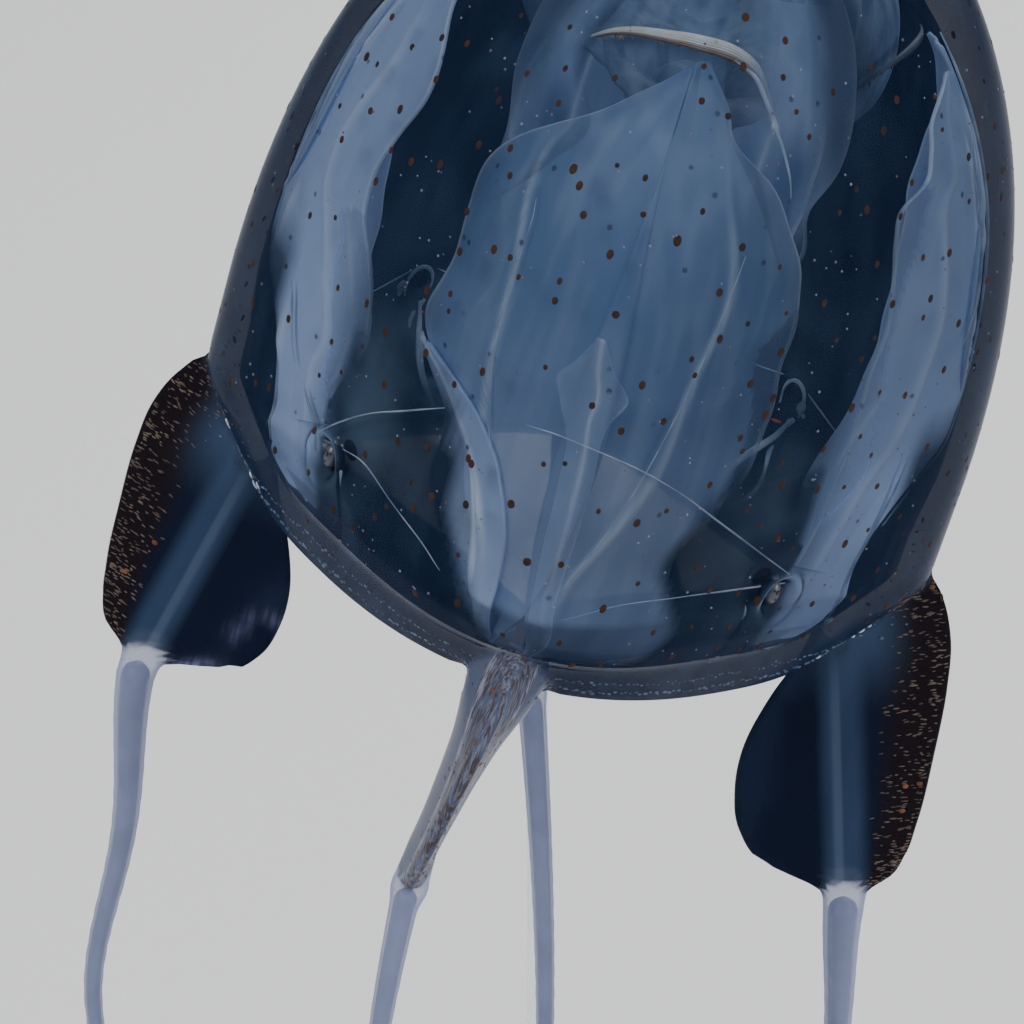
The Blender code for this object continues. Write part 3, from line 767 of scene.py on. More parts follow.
def markSkin(mesh):  # numbers that the materials read: which region a point of the skin is in
    m = markShape
    world = positions(mesh)
    local = toBell(world)
    z = local[:, 2]
    angle = np.arctan2(local[:, 1], local[:, 0])
    reach = np.hypot(local[:, 0], local[:, 1])
    outer = outerRadius(angle, np.clip(z, bellShape["rimZ"], bellShape["crownZ"]))
    cavity = cavityRadius(angle, np.clip(z, 0, bellShape["cavityTopZ"]))
    fromCorner = np.degrees(abs((angle + math.pi / 4) % (math.pi / 2) - math.pi / 4))
    names = ("hood", "hollow", "wallHaze", "blade", "keel", "fromCanal", "alongBlade", "flatAcross",
             "paleLimb", "keelPatch", "cord")
    marks = {name: np.zeros(len(z)) for name in names}
    markNiches(marks, local)
    markLimbs(marks, world, local, np.maximum(reach - outer, bellShape["rimZ"] - m["rimDepth"] - z))
    onLimb = np.maximum(marks["blade"], marks["cord"])
    marks["blade"] = marks["blade"] * (1 - marks["cord"])
    onWall = (z > m["wallFoot"]) & (z < bellShape["cavityTopZ"] + m["wallTop"])
    marks["cavityWall"] = (reach < (outer + cavity) / 2) & onWall
    shelfHeight = smooth(z, *m["shelfFoot"]) * (1 - smooth(z, *m["shelfTop"]))
    marks["shelf"] = smooth(cavity - reach, *m["shelfEdge"]) * shelfHeight
    marks["faceMiddle"] = smooth(fromCorner, *m["faceMiddle"])
    bare = smooth(fromCorner, *m["bare"])
    frontLeft = (angle > -math.pi * 0.75) & (angle < -math.pi / 2)
    frontRight = (angle > -math.pi / 2) & (angle < -math.pi / 4)
    for side, key in ((frontLeft, "leafEdgeLeft"), (frontRight, "leafEdgeRight")):
        low, high = (curveThrough(m[key], z) + shift for shift in m["bareBesideLeaf"])
        bare = np.maximum(bare, side * smooth(fromCorner, low, high))
    # beside the left and right corners the leaves start higher
    sideways = abs(np.cos(angle)) > abs(np.sin(angle))
    bare = np.maximum(bare, sideways * (1 - smooth(fromCorner, *m["bareAtSides"])))
    # painted shade: the low wall between the leaves goes dark and near-opaque
    marks["mouthVeil"] = bare * (1 - smooth(z, *m["bareTop"]))
    for name, values in marks.items():
        setAttribute(mesh, name, values)
    return onLimb


skinFinish = {
    "bell": tint(0.006, 0.0135, 0.036), "bellPale": tint(0.018, 0.033, 0.068),
    "wall": tint(0.009, 0.018, 0.037), "wallPale": tint(0.018, 0.034, 0.064),
    "haze": tint(0.075, 0.115, 0.165), "shelf": tint(0.022, 0.050, 0.105),
    # hollow paints the niches' floors near-black: painted shade
    "shelfVein": tint(0.08, 0.14, 0.24), "hood": tint(0.10, 0.15, 0.24), "hollow": tint(0.006, 0.010, 0.022),
    "blade": tint(0.004, 0.007, 0.020), "bladeOuter": tint(0.008, 0.0055, 0.008),
    "funnel": tint(0.062, 0.076, 0.125), "mottle": tint(0.050, 0.041, 0.046), "rib": tint(0.22, 0.23, 0.30),
    "band": tint(0.022, 0.040, 0.080), "bandLight": tint(0.058, 0.085, 0.135),
    "neck": tint(0.036, 0.062, 0.115), "patch": tint(0.14, 0.15, 0.28), "cord": tint(0.25, 0.28, 0.43),
    "bellFilm": (0.30, 0.97), "filmStart": 0.30, "filmEnd": 0.88, "farFilm": 0.94, "wallNear": (0.05, 0.70),
    "wallFar": 0.97, "shelfFilm": (0.72, 0.95), "bladeFilm": (0.96, 1.0), "funnelFilm": (0.90, 0.99),
    "cordFilm": (0.46, 0.99), "lampBell": tint(0.80, 0.84, 0.88), "lampLimb": tint(0.45, 0.47, 0.52),
    "roughness": 0.26, "ior": 1.07, "outerHood": 0.4, "mouthShadeFilm": 0.985, "cloudShare": 0.55,
    "mistClouds": (-0.3, 1.0), "shelfStreaks": (0.55, 1.0), "bump": (0.06, 0.06),
    "grain": {"Cloud_Scale": 140.0, "Speck_Scale": 620.0, "Speck_Size": 0.2, "Fine_Scale": 700.0},
    "streaks": {"Scale": 420.0}, "threads": {"Scale": 2800.0, "Stretch": 0.12},
    "hairs": {"Scale": 5200.0, "Stretch": 0.10},
    # where the paddles' colours begin and end, across the keel from -1 to 1 or in mm from the canal
    "outerKeel": (0.30, 0.62), "bandInner": (-2.3, -0.9), "bandOuter": (2.4, 0.8), "bandStreaks": (0.8, 1.0),
    "lightOuter": (0.05, -0.25), "lightInner": (-1.1, -0.6), "lightShare": 0.6, "neckAlong": (0.34, -0.05),
    "neckKeel": (0.75, 0.25), "neckShare": 0.8, "innerKeel": (-0.50, -0.85), "innerClouds": (0.2, 1.0),
    "innerShare": 0.2, "patchClouds": (0.1, 0.7), "patchThreads": (0.35, 1.0), "core": (0.66, 0.45),
    "coreThreads": (0.2, 0.8), "glints": (0.70, 0.98), "glintShare": 0.35, "ribInner": (0.42, 0.50),
    "ribOuter": (0.58, 0.50), "ribHairs": (0.0, 0.6), "ribShare": 0.75,
}


def startSkin(name):  # the bell's outer jelly, which both skin materials begin from
    f = skinFinish
    made, tree, shader = startMaterial(name, f["roughness"], IOR=f["ior"])
    grain = placeGroup(tree, grainGroup, **f["grain"])
    streaks = placeGroup(tree, streakGroup, **f["streaks"])["Streaks"]
    clouds = times(tree, times(tree, grain["Clouds"], streaks), f["cloudShare"])
    edge = fade(tree, facingOf(tree), f["filmStart"], f["filmEnd"])
    away = addNode(tree, "NewGeometry").outputs["Backfacing"]
    film = between(tree, away, between(tree, edge, *f["bellFilm"]), f["farFilm"])
    return made, tree, shader, grain, streaks, edge, away, blend(tree, clouds, f["bell"], f["bellPale"]), film


def bellMaterial():
    f = skinFinish
    made, tree, shader, grain, streaks, edge, away, colour, film = startSkin("bellJelly")
    cavityWall, shelf, faceMiddle, hood, hollow, mouthVeil, wallHaze = readAttributes(
        tree, "cavityWall", "shelf", "faceMiddle", "hood", "hollow", "mouthVeil", "wallHaze")
    wallColour = blend(tree, times(tree, grain["Clouds"], streaks), f["wall"], f["wallPale"])
    mist = times(tree, wallHaze, fade(tree, grain["Clouds"], *f["mistClouds"]))
    wallColour = blend(tree, mist, wallColour, f["haze"])
    colour = blend(tree, cavityWall, colour, wallColour)
    shelfColour = blend(tree, fade(tree, streaks, *f["shelfStreaks"]), f["shelf"], f["shelfVein"])
    colour = blend(tree, shelf, colour, shelfColour)
    # the niche's floor painted near-black: painted shade in the recess
    colour = blend(tree, hollow, blend(tree, hood, colour, f["hood"]), f["hollow"])
    nearWall = between(tree, faceMiddle, *f["wallNear"])
    # painted shade: beside the mouth the near wall turns near-opaque
    nearWall = calc(tree, 'MAXIMUM', nearWall, times(tree, mouthVeil, f["mouthShadeFilm"]))
    film = between(tree, cavityWall, film, between(tree, away, f["wallFar"], nearWall))
    film = between(tree, shelf, film, between(tree, edge, *f["shelfFilm"]))
    film = calc(tree, 'MAXIMUM', film, times(tree, calc(tree, 'MAXIMUM', hood, hollow), f["outerHood"]))
    feed(tree, shader, "Base Color", colour)
    letLightIn(tree, shader, film, f["lampBell"])
    return made


def limbMaterial():
    f = skinFinish
    made, tree, shader, grain, streaks, edge, _, colour, film = startSkin("limbJelly")
    threads, hairs = (placeGroup(tree, streakGroup, **f[kind])["Streaks"] for kind in ("threads", "hairs"))
    blade, keel, fromCanal, cord, along, flatAcross, paleLimb, keelPatch = readAttributes(
        tree, "blade", "keel", "fromCanal", "cord", "alongBlade", "flatAcross", "paleLimb", "keelPatch")

    def part(value, name):  # how much a colour shows at a value
        return fade(tree, value, *f[name])

    bladeColour = blend(tree, part(keel, "outerKeel"), f["blade"], f["bladeOuter"])
    band = times(tree, part(fromCanal, "bandInner"), part(fromCanal, "bandOuter"))
    band = times(tree, band, between(tree, streaks, *f["bandStreaks"]))
    bladeColour = blend(tree, band, bladeColour, f["band"])
    light = times(tree, part(fromCanal, "lightOuter"), part(fromCanal, "lightInner"))
    bladeColour = blend(tree, times(tree, light, f["lightShare"]), bladeColour, f["bandLight"])
    neck = times(tree, part(along, "neckAlong"), part(keel, "neckKeel"))
    bladeColour = blend(tree, times(tree, neck, f["neckShare"]), bladeColour, f["neck"])
    innerKeel = times(tree, part(keel, "innerKeel"), part(grain["Clouds"], "innerClouds"))
    bladeColour = blend(tree, times(tree, innerKeel, f["innerShare"]), bladeColour, f["band"])
    patches = times(tree, keelPatch, part(grain["Clouds"], "patchClouds"))
    patches = times(tree, patches, between(tree, threads, *f["patchThreads"]))
    bladeColour = blend(tree, patches, bladeColour, f["patch"])
    core = part(flatAcross, "core")
    funnel = blend(tree, times(tree, core, part(threads, "coreThreads")), f["funnel"], f["mottle"])
    glints = times(tree, core, part(hairs, "glints"))
    funnel = blend(tree, times(tree, glints, f["glintShare"]), funnel, f["rib"])
    ribs = times(tree, part(flatAcross, "ribInner"), part(flatAcross, "ribOuter"))
    ribs = times(tree, ribs, part(hairs, "ribHairs"))
    funnel = blend(tree, times(tree, ribs, f["ribShare"]), funnel, f["rib"])
    bladeColour = blend(tree, paleLimb, bladeColour, funnel)
    colour = blend(tree, cord, blend(tree, blade, colour, bladeColour), f["cord"])
    bladeFilm, funnelFilm, cordFilm = (
        between(tree, edge, *f[kind]) for kind in ("bladeFilm", "funnelFilm", "cordFilm"))
    film = between(tree, blade, film, between(tree, paleLimb, bladeFilm, funnelFilm))
    film = between(tree, cord, film, cordFilm)
    passed = blend(tree, calc(tree, 'MAXIMUM', blade, cord), f["lampBell"], f["lampLimb"])
    feed(tree, shader, "Base Color", colour)
    letLightIn(tree, shader, film, passed)
    addBump(tree, shader, grain["Height"], *f["bump"])
    return made


def makeSkin():
    shell = growRings([toWorld(ring) for ring in bellRings()])
    sinkNiches(shell)
    bell = addObject("skin", shell)
    limbs = joinBodies("limbs", [growRings(limbRings(corner, spec)) for corner, spec in limbShape.items()])
    envelope = growRings([toWorld(ring) for ring in bellRings(seamShape["inset"], True)])
    boolean(limbs, addObject("envelope", envelope), 'DIFFERENCE')
    shellTree = BVHTree.FromObject(bell, bpy.context.evaluated_depsgraph_get())
    limbTree = BVHTree.FromObject(limbs, bpy.context.evaluated_depsgraph_get())
    boolean(bell, makeFrenula(), 'UNION')
    boolean(bell, limbs, 'UNION')
    softenSeams(bell.data, shellTree, limbTree)
    onLimb = markSkin(bell.data) > 0.001  # from here on the paddles' material shows
    bell.data.shade_smooth()
    bell.data.materials.clear()
    bell.data.materials.append(bellMaterial())
    bell.data.materials.append(limbMaterial())
    starts, corners = np.zeros(len(bell.data.polygons), int), np.zeros(len(bell.data.loops), int)
    bell.data.polygons.foreach_get("loop_start", starts)
    bell.data.loops.foreach_get("vertex_index", corners)
    bell.data.polygons.foreach_set("material_index", np.maximum.reduceat(onLimb[corners], starts).astype(int))
    nodes = ["bell"] + [kind + side for kind in ("velarium_", "frenulum_") for side in faceTurns]
    nodes += ["pedalium_" + corner for corner in cornerTurns]
    nodes += ["tentacle_%s_%d" % (corner, part) for corner in cornerTurns for part in (1, 2, 3)]
    return dress(bell, "bell_jelly", *nodes)


skin = makeSkin()
print("skin:", len(skin.data.polygons), "faces")


# gonads and curtains: thin leaves that hang along the cavity's wall beside each corner
# tables give (height, degrees from the corner): start and spread are a leaf's edges, rib and lines ridges,
# lines partly painted highlight streaks; dim is where it thins out; shade gives (height, how pale it is
# painted): painted light and shade, side leaves pale as lit, front leaves and tops darker as shade
leafShape = {
    "thick": 0.34, "lift": 0.95, "rows": 120, "columns": 40, "rootLift": 0.45, "foldLift": 0.5,
    "bandLift": 0.35,
    "waves": ((0.55, 1.3, 0.0, 0.6), (1.15, 0.0, 2.0, 0.4)),  # (turn per mm, shift by side, shift, share)
    "ruffle": 0.3, "ribPlace": 0.6, "lineFade": (5, 3), "ridge": (0.12, 0.9), "lineRidge": 0.25,
    "lineWidth": 0.55, "ribWidth": 0.7, "ribShare": 0.5, "ribFoot": (5, 12), "ribTop": (34, 42),
    "dimEdge": 0.3, "denseTop": (12, 22),
    # where a hanging sheet melts away: towards the corner, at its foot, and over its corner side
    "meltSide": (0.02, 0.45), "meltFoot": (0.5, 6.5), "meltHigh": (7, 12), "meltWide": (0.45, 0.95),
    "gonad_front_a": {
        "spread": [(0.6, 9), (2, 27), (5, 32), (8, 29), (11, 25), (18, 34), (22.7, 36.5), (27.7, 35.5),
                   (31.4, 36.5), (34.5, 35), (37.1, 30.6), (40.7, 22.6), (43, 13), (45, 10), (47.4, 3)],
        "start": [(0.6, 3), (6, 0.2), (47.4, 0.2)], "ruffle": 0.5,
        "shade": [(0, 0.28), (14, 0.2), (24, 0.05), (47, 0.0)],
        "dim": [(0, 60), (12, 24), (16, 29), (22, 31.5), (30, 31), (36, 60)],
        "rib": [(5, 4), (9.4, 5.1), (14.3, 9.7), (18.2, 13.3), (27.3, 15.9), (32.6, 18.6), (42, 12)]},
    "gonad_front_b": {
        "spread": [(1.2, 8), (4.3, 11.4), (6.5, 14.7), (9.4, 19.7), (11.3, 23.7), (15, 25), (19, 29),
                   (21.7, 37), (25.5, 37.4), (29.4, 36.7), (33.3, 38), (37, 35), (40, 25), (42.1, 16.8),
                   (44.9, 8.1), (46.9, 1)],
        "start": [(1.2, 4), (6, 0.2), (46.9, 0.2)], "ruffle": 0.8,
        "shade": [(1, 0.3), (15, 0.2), (23, 0.1), (30, 0.0)],
        "rib": [(5, 5), (10, 11), (21.8, 17.9), (30, 20.3), (39, 23.8), (45, 16)], "dense": 0.3},
    "gonad_back_a": {
        "spread": [(1.0, 10), (4, 28), (10, 26), (20, 33), (31, 35), (40, 26), (47.5, 12)],
        "start": [(1.0, 3), (6, 0.2), (47.5, 0.2)], "ruffle": 0.5, "shade": [(0, 0.1), (47, 0.0)]},
    "gonad_back_b": {
        "spread": [(1.0, 10), (4, 26), (9, 30), (20, 32), (31, 34), (40, 25), (47.5, 12)],
        "start": [(1.0, 3), (6, 0.2), (47.5, 0.2)], "ruffle": 0.5, "shade": [(0, 0.1), (47, 0.0)]},
    "gonad_left_a": {
        "spread": [(0.8, 31), (3, 36), (5, 36), (8, 33), (12, 32), (15, 37), (18.9, 37.3), (22.9, 32.2),
                   (25.4, 27), (28, 25.5), (32, 26.5), (36, 28.6), (39.7, 24.5), (42, 19), (47.5, 9)],
        "start": [(0.8, 24), (2, 17), (4.1, 19), (7, 20.4), (9.3, 19.2), (12.2, 16.6), (14.8, 13), (17, 7.5),
                  (19, 2.5), (21, 0.2), (47.5, 0.2)], "ruffle": 0.15,
        "shade": [(0, 1.0), (14, 1.0), (24, 0.72), (47, 0.45)],
        "dim": [(0, 60), (8, 36), (12, 29), (15.2, 28.2), (18, 25.4), (22.3, 23.8), (25.6, 26), (28, 60)],
        # lines: the first two follow septum ridges, the last two paint bright streaks as painted highlight
        "lines": ([(12, 5), (18, 1.2), (47, 1.0)], [(30, 5), (38, 5), (50, 4.5)],
                  [(14, 8), (19, 6.5), (24, 6)], [(4, 22), (10, 18), (16, 15)])},
    "gonad_left_b": {
        "spread": [(0.8, 20), (4, 30), (12, 28), (20, 26), (31, 22), (41, 15), (47.5, 7)],
        "start": [(0.8, 16), (7, 20), (12.2, 17), (17, 8), (21, 0.2), (47.5, 0.2)], "ruffle": 0.4,
        "shade": [(0, 0.6), (47, 0.3)]},
    "gonad_right_b": {
        "spread": [(0.3, 35), (2.5, 38), (6, 37.5), (10, 33), (16, 30.5), (22, 30), (25, 30), (29, 28),
                   (33, 28.5), (36, 29), (38.3, 26.6), (39.5, 21), (41.8, 17.7), (44, 14.7), (45.3, 8),
                   (46, 2)],
        "start": [(0.3, 28), (1.5, 19.5), (4, 18.5), (8.5, 19.5), (11, 18.4), (12.6, 16.6), (14.9, 13.6),
                  (16.9, 9.5), (18.7, 4), (21, 0.2), (46, 0.2)], "ruffle": 0.15,
        "shade": [(0, 1.0), (17, 1.0), (25, 0.75), (34, 0.5), (46, 0.3)],
        "dim": [(0, 60), (10, 40), (13, 30), (16, 24), (19.7, 23.8), (23.2, 25.1), (27, 26.6), (30.5, 26.6),
                (33.5, 24.9), (37.8, 20.8), (39.5, 20), (42, 60)],
        "lines": ([(10, 6), (18, 1.2), (45, 1.0)], [(24, 4.5), (34, 4.5), (43, 4)])},
    "gonad_right_a": {
        "spread": [(0.8, 22), (4, 30), (12, 27), (22, 26), (33, 27), (41, 19), (47.5, 8)],
        "start": [(0.8, 14), (7, 19), (12.2, 16.5), (17, 8), (21, 0.2), (47.5, 0.2)], "ruffle": 0.4,
        "shade": [(0, 0.6), (47, 0.3)]},
}
foldShape = {  # the front leaf's lower edge is folded over into a narrow strip, its brightness and lines painted highlight
    "spread": [(2.0, 7.5), (2.8, 7.9), (7, 10.5), (11.6, 13.7), (15.6, 19.3), (18.5, 27.5), (21.3, 37.4)],
    "start": [(2.0, 4.6), (3.1, 5.2), (8, 5.6), (12.2, 6.7), (15.5, 9.5), (17.8, 13), (20.1, 22), (21.3, 33)],
    "shade": [(2, 0.85), (14, 0.7), (21, 0.45)], "ruffle": 0.9, "dense": 1.6,
    "lines": ([(4, 9), (9, 10.8), (14, 14), (17, 18)], [(8, 9), (11, 10.5), (13, 12.2), (16, 16)]),
}
frontBandShape = {  # a soft lilac band over the front corner's seam
    "spread": [(1.2, 3), (2.5, 4.5), (8.2, 4), (13.4, 4), (18.4, 3.8), (23.2, 3.7), (25.1, 5.4), (27, 2),
               (29.1, -0.6)],
    "start": [(1.2, 2), (1.9, 2), (7.8, 0.4), (12.8, -0.4), (17.7, -1), (21.6, -2.1), (23.9, -4.7),
              (25.4, -6.1), (27, -4), (29.1, -1.8)],
    "shade": [(1, 0.9), (20, 0.65), (29, 0.35)], "ruffle": 0.1, "dense": 0.0, "thin": 1.1,
}
curtainShape = {  # sheets that hang from the stomach's edge above the leaves
    "lift": 1.7,
    "front_a": {"spread": [(33.6, 34), (35, 36.5), (38.5, 37), (40.3, 43), (43, 49), (45.7, 52), (48.7, 55),
                           (51.5, 55)],
                "start": [(33.6, 31), (36, 27), (40, 20), (44, 11), (51.5, 6)],
                "shade": [(33, 0.35), (51, 0.15)]},
    "front_b": {"spread": [(33, 37), (37, 38), (41.6, 46.5), (45.4, 51), (51.5, 52)],
                "start": [(33, 32), (38, 22), (42, 18), (43.5, 23), (51.5, 24)],
                "shade": [(33, 0.05), (51, 0.1)]},
    "back_a": {"spread": [(33.6, 34), (38.5, 37), (45.7, 46), (51.5, 48)],
               "start": [(33.6, 31), (40, 20), (44, 11), (51.5, 6)], "shade": [(33, 0.35), (51, 0.15)]},
    "back_b": {"spread": [(33, 37), (37, 38), (44, 45), (51.5, 48)],
               "start": [(33, 32), (38, 22), (43.5, 18), (51.5, 14)], "shade": [(33, 0.1), (51, 0.1)]},
}


def ribAngle(spec, z):
    start, spread = curveThrough(spec["start"], z), curveThrough(spec["spread"], z)
    return curveThrough(spec["rib"], z) if "rib" in spec else start + leafShape["ribPlace"] * (spread - start)


def ridgeAndHighlightLines(spec, turn, z):  # thin pale ridges where the leaf is joined to its septum, and pale painted highlight streaks
    rise, fall = leafShape["lineFade"]
    found = np.zeros(len(turn))
    for line in spec.get("lines", ()):
        low, high = line[0][0], line[-1][0]
        ridge = np.exp(-((turn - curveThrough(line, z)) / leafShape["lineWidth"]) ** 2)
        found = np.maximum(found, ridge * smooth(z, low, low + rise) * (1 - smooth(z, high - fall, high)))
    return found


def leafPoints(corner, hand, spec, lift, across, z):  # across runs from the corner, 0, to the free edge, 1
    start, spread = curveThrough(spec["start"], z), curveThrough(spec["spread"], z)
    turn = start + (spread - start) * across
    angle = np.radians(cornerTurns[corner] + hand * turn)
    s = leafShape
    wave = sum(np.sin(z * pace + hand * side + shift) * share for pace, side, shift, share in s["waves"])
    high, wide = s["ridge"]
    rib = high * np.exp(-((turn - ribAngle(spec, z)) / wide) ** 2) + s["lineRidge"] * ridgeAndHighlightLines(spec, turn, z)
    lift = lerp(s["rootLift"], lift, across * 4) - rib
    lift = lift + spec.get("ruffle", s["ruffle"]) * (0.5 + 0.5 * wave) * across ** 3
    return polar(angle, cavityRadius(angle, z) - lift, z)


def makeLeaf(name, corner, letter, spec, material, lift, hangs=False):
    s = leafShape
    hand = 1 if letter == "a" else -1
    bm = bmesh.new()
    bmesh.ops.create_grid(bm, x_segments=s["columns"], y_segments=s["rows"], size=0.5)
    grid = np.array([vert.co for vert in bm.verts]) + 0.5
    across = grid[:, 0]
    z = lerp(spec["spread"][0][0], spec["spread"][-1][0], grid[:, 1])
    for vert, spot in zip(bm.verts, toWorld(leafPoints(corner, hand, spec, lift, across, z))):
        vert.co = spot * mm
    leaf = addObject(name, bm, material)
    turn = lerp(curveThrough(spec["start"], z), curveThrough(spec["spread"], z), across)
    ribs = s["ribShare"] * np.exp(-((turn - ribAngle(spec, z)) / s["ribWidth"]) ** 2) * (not hangs)
    ribs = ribs * smooth(z, *s["ribFoot"]) * (1 - smooth(z, *s["ribTop"]))
    dim = 0 * z
    if "dim" in spec:
        dim = smooth(turn, *(curveThrough(spec["dim"], z) + shift for shift in (-s["dimEdge"], s["dimEdge"])))
    if hangs:
        high = z - spec["spread"][0][0]
        dim = np.maximum(1 - smooth(across, *s["meltSide"]), 1 - smooth(high, *s["meltFoot"]))
        dim = np.maximum(dim, (1 - smooth(high, *s["meltHigh"])) * (1 - smooth(across, *s["meltWide"])))
    dense = (1 - smooth(z, *s["denseTop"])) * (0.0 if hangs else 1 - dim) * spec.get("dense", 1)
    for mark, values in (("acrossLeaf", across), ("paleLeaf", curveThrough(spec["shade"], z)),
                         ("ribLeaf", ribs), ("lineLeaf", ridgeAndHighlightLines(spec, turn, z)),
                         ("thinLeaf", np.maximum(dim, spec.get("thin", 0.0))), ("denseLeaf", dense)):
        setAttribute(leaf.data, mark, values)
    thicken(leaf, s["thick"])
    leaf.data.shade_smooth()
    return leaf


leafFinish = {
    # front and side are one leaf colour, painted in shade and painted as lit; edge paints the rim and lines,
    # partly as painted highlight
    "front": tint(0.145, 0.225, 0.385), "side": tint(0.62, 0.74, 1.0), "edge": tint(0.85, 0.92, 1.0),
    "dark": tint(0.04, 0.08, 0.17), "speck": tint(0.02, 0.02, 0.03), "film": (0.66, 0.95), "dense": 0.86,
    "curtainFilm": (0.50, 0.85), "thinning": 0.42, "lamp": tint(0.62, 0.66, 0.70),
    "clear": tint(1.0, 1.0, 1.0), "roughness": 0.42, "ior": 1.36, "specular": 0.3, "bump": (0.25, 0.05),
    "rim": (0.975, 1.0), "darkFrom": (0.35, 1.0),
    "shares": {"dark": 0.2, "streaks": 0.10, "clouds": 0.18, "rim": 0.45, "lines": 0.85, "specks": 0.8,
               "lineFilm": 0.9},
    "grain": {"Cloud_Scale": 90.0, "Speck_Scale": 520.0, "Speck_Size": 0.16, "Fine_Scale": 800.0},
    "streaks": {"Scale": 500.0, "Stretch": 0.04},
}


def leafMaterial(name, filmRange, thinning):
    f = leafFinish
    made, tree, shader = startMaterial(name, f["roughness"], IOR=f["ior"], Specular_IOR_Level=f["specular"])
    grain = placeGroup(tree, grainGroup, **f["grain"])
    streaks = placeGroup(tree, streakGroup, **f["streaks"])["Streaks"]
    across, thin, pale, line, rib, dense = readAttributes(
        tree, "acrossLeaf", "thinLeaf", "paleLeaf", "lineLeaf", "ribLeaf", "denseLeaf")
    share = f["shares"]
    # rim: a pale free edge, a painted edge highlight, joined to the septum ridges and painted highlight
    # streaks
    rim = times(tree, fade(tree, across, *f["rim"]), share["rim"])
    lines = calc(tree, 'MAXIMUM', calc(tree, 'MAXIMUM', line, rib), rim)
    # the leaf's colour runs from its shaded front colour to its lit side colour: painted light and shade
    colour = blend(tree, pale, f["front"], f["side"])
    for value, amount, paint in ((fade(tree, across, *f["darkFrom"]), "dark", "dark"),
                                 (streaks, "streaks", "edge"), (grain["Clouds"], "clouds", "front"),
                                 (lines, "lines", "edge"), (grain["Specks"], "specks", "speck")):
        colour = blend(tree, times(tree, value, share[amount]), colour, f[paint])
    feed(tree, shader, "Base Color", colour)
    film = between(tree, facingOf(tree), *filmRange)
    film = times(tree, film, between(tree, thin, 1.0, thinning))
    film = calc(tree, 'MAXIMUM', film, times(tree, lines, share["lineFilm"]))
    film = between(tree, dense, film, f["dense"])
    melted = times(tree, thin, 1.0 - thinning)
    letLightIn(tree, shader, film, blend(tree, melted, f["lamp"], f["clear"]))
    addBump(tree, shader, streaks, *f["bump"])
    return made


def makeLeaves():
    f = leafFinish
    gonad = leafMaterial("gonadLeaf", f["film"], f["thinning"])
    curtain = leafMaterial("stomachCurtain", f["curtainFilm"], 0.0)
    for corner in cornerTurns:
        for letter in "ab":
            name = "gonad_%s_%s" % (corner, letter)
            leaf = makeLeaf("leaf_%s_%s" % (corner, letter), corner, letter, leafShape[name], gonad,
                            leafShape["lift"])
            dress(leaf, "gonad", name)
            if name == "gonad_front_b":
                for title, side, spec, lift in (("foldedEdge", letter, foldShape, "foldLift"),
                                                ("frontBand", "a", frontBandShape, "bandLift")):
                    dress(makeLeaf(title, corner, side, spec, gonad, leafShape[lift]), "gonad")
            key = "%s_%s" % (corner, letter)
            if key in curtainShape:
                sheet = makeLeaf("curtain_" + key, corner, letter, curtainShape[key], curtain,
                                 curtainShape["lift"], True)
                dress(sheet, "stomach")


makeLeaves()
print("gonads and curtains")


# stomach with its mouth tube, one body
stomachShape = {
    "sides": 96, "levels": 120, "square": 3.2, "droop": 2.0, "droopFrom": 46.0, "droopOver": (0.0, 4.0),
    "droopRadius": (5.0, 10.0), "folds": 28, "foldDepth": 0.16, "foldRadius": (2.0, 6.0),
    "foldTop": (42.0, 47.0),
    # (height, half width or radius, how deeply the lips are cut, 1 where the section is square)
    "profile": [(55.3, 0.4, 0, 1), (55.2, 2.6, 0, 1), (54.7, 5.2, 0, 1), (53.6, 7.8, 0, 1), (52.0, 9.9, 0, 1),
                (49.8, 11.4, 0, 1), (47.0, 12.2, 0, 1), (44.6, 12.3, 0, 1), (42.8, 11.6, 0, 1),
                (41.7, 10.0, 0, 1), (41.2, 8.0, 0, 0.8), (40.8, 6.2, 0.05, 0.3), (39.6, 4.9, 0.12, 0),
                (37.8, 4.0, 0.15, 0), (35.0, 3.3, 0.2, 0), (32.6, 3.6, 0.32, 0), (31.0, 4.5, 0.45, 0),
                (30.15, 5.3, 0.5, 0), (30.3, 5.1, 0.5, 0), (31.2, 3.8, 0.42, 0), (33.0, 2.7, 0.3, 0),
                (36.0, 2.4, 0.2, 0), (39.0, 2.4, 0.1, 0), (40.2, 1.4, 0, 0), (40.4, 0.2, 0, 0)],
}
stomachFinish = {"wall": tint(0.10, 0.15, 0.24), "fold": tint(0.26, 0.34, 0.46), "film": (0.30, 0.85),
                 "lamp": tint(0.7, 0.74, 0.78), "roughness": 0.4, "ior": 1.38, "clouds": 0.4,
                 "bump": (0.4, 0.1),
                 "grain": {"Cloud_Scale": 260.0, "Speck_Scale": 500.0, "Speck_Size": 0.16},
                 "streaks": {"Scale": 700.0, "Stretch": 0.15}}


def stomachMaterial():
    f = stomachFinish
    made, tree, shader = startMaterial("stomachWall", f["roughness"], IOR=f["ior"])
    grain = placeGroup(tree, grainGroup, **f["grain"])
    streaks = placeGroup(tree, streakGroup, **f["streaks"])["Streaks"]
    colour = blend(tree, streaks, f["wall"], f["fold"])
    colour = blend(tree, times(tree, grain["Clouds"], f["clouds"]), colour, leafFinish["front"])
    feed(tree, shader, "Base Color", colour)
    letLightIn(tree, shader, between(tree, facingOf(tree), *f["film"]), f["lamp"])
    addBump(tree, shader, streaks, *f["bump"])
    return made


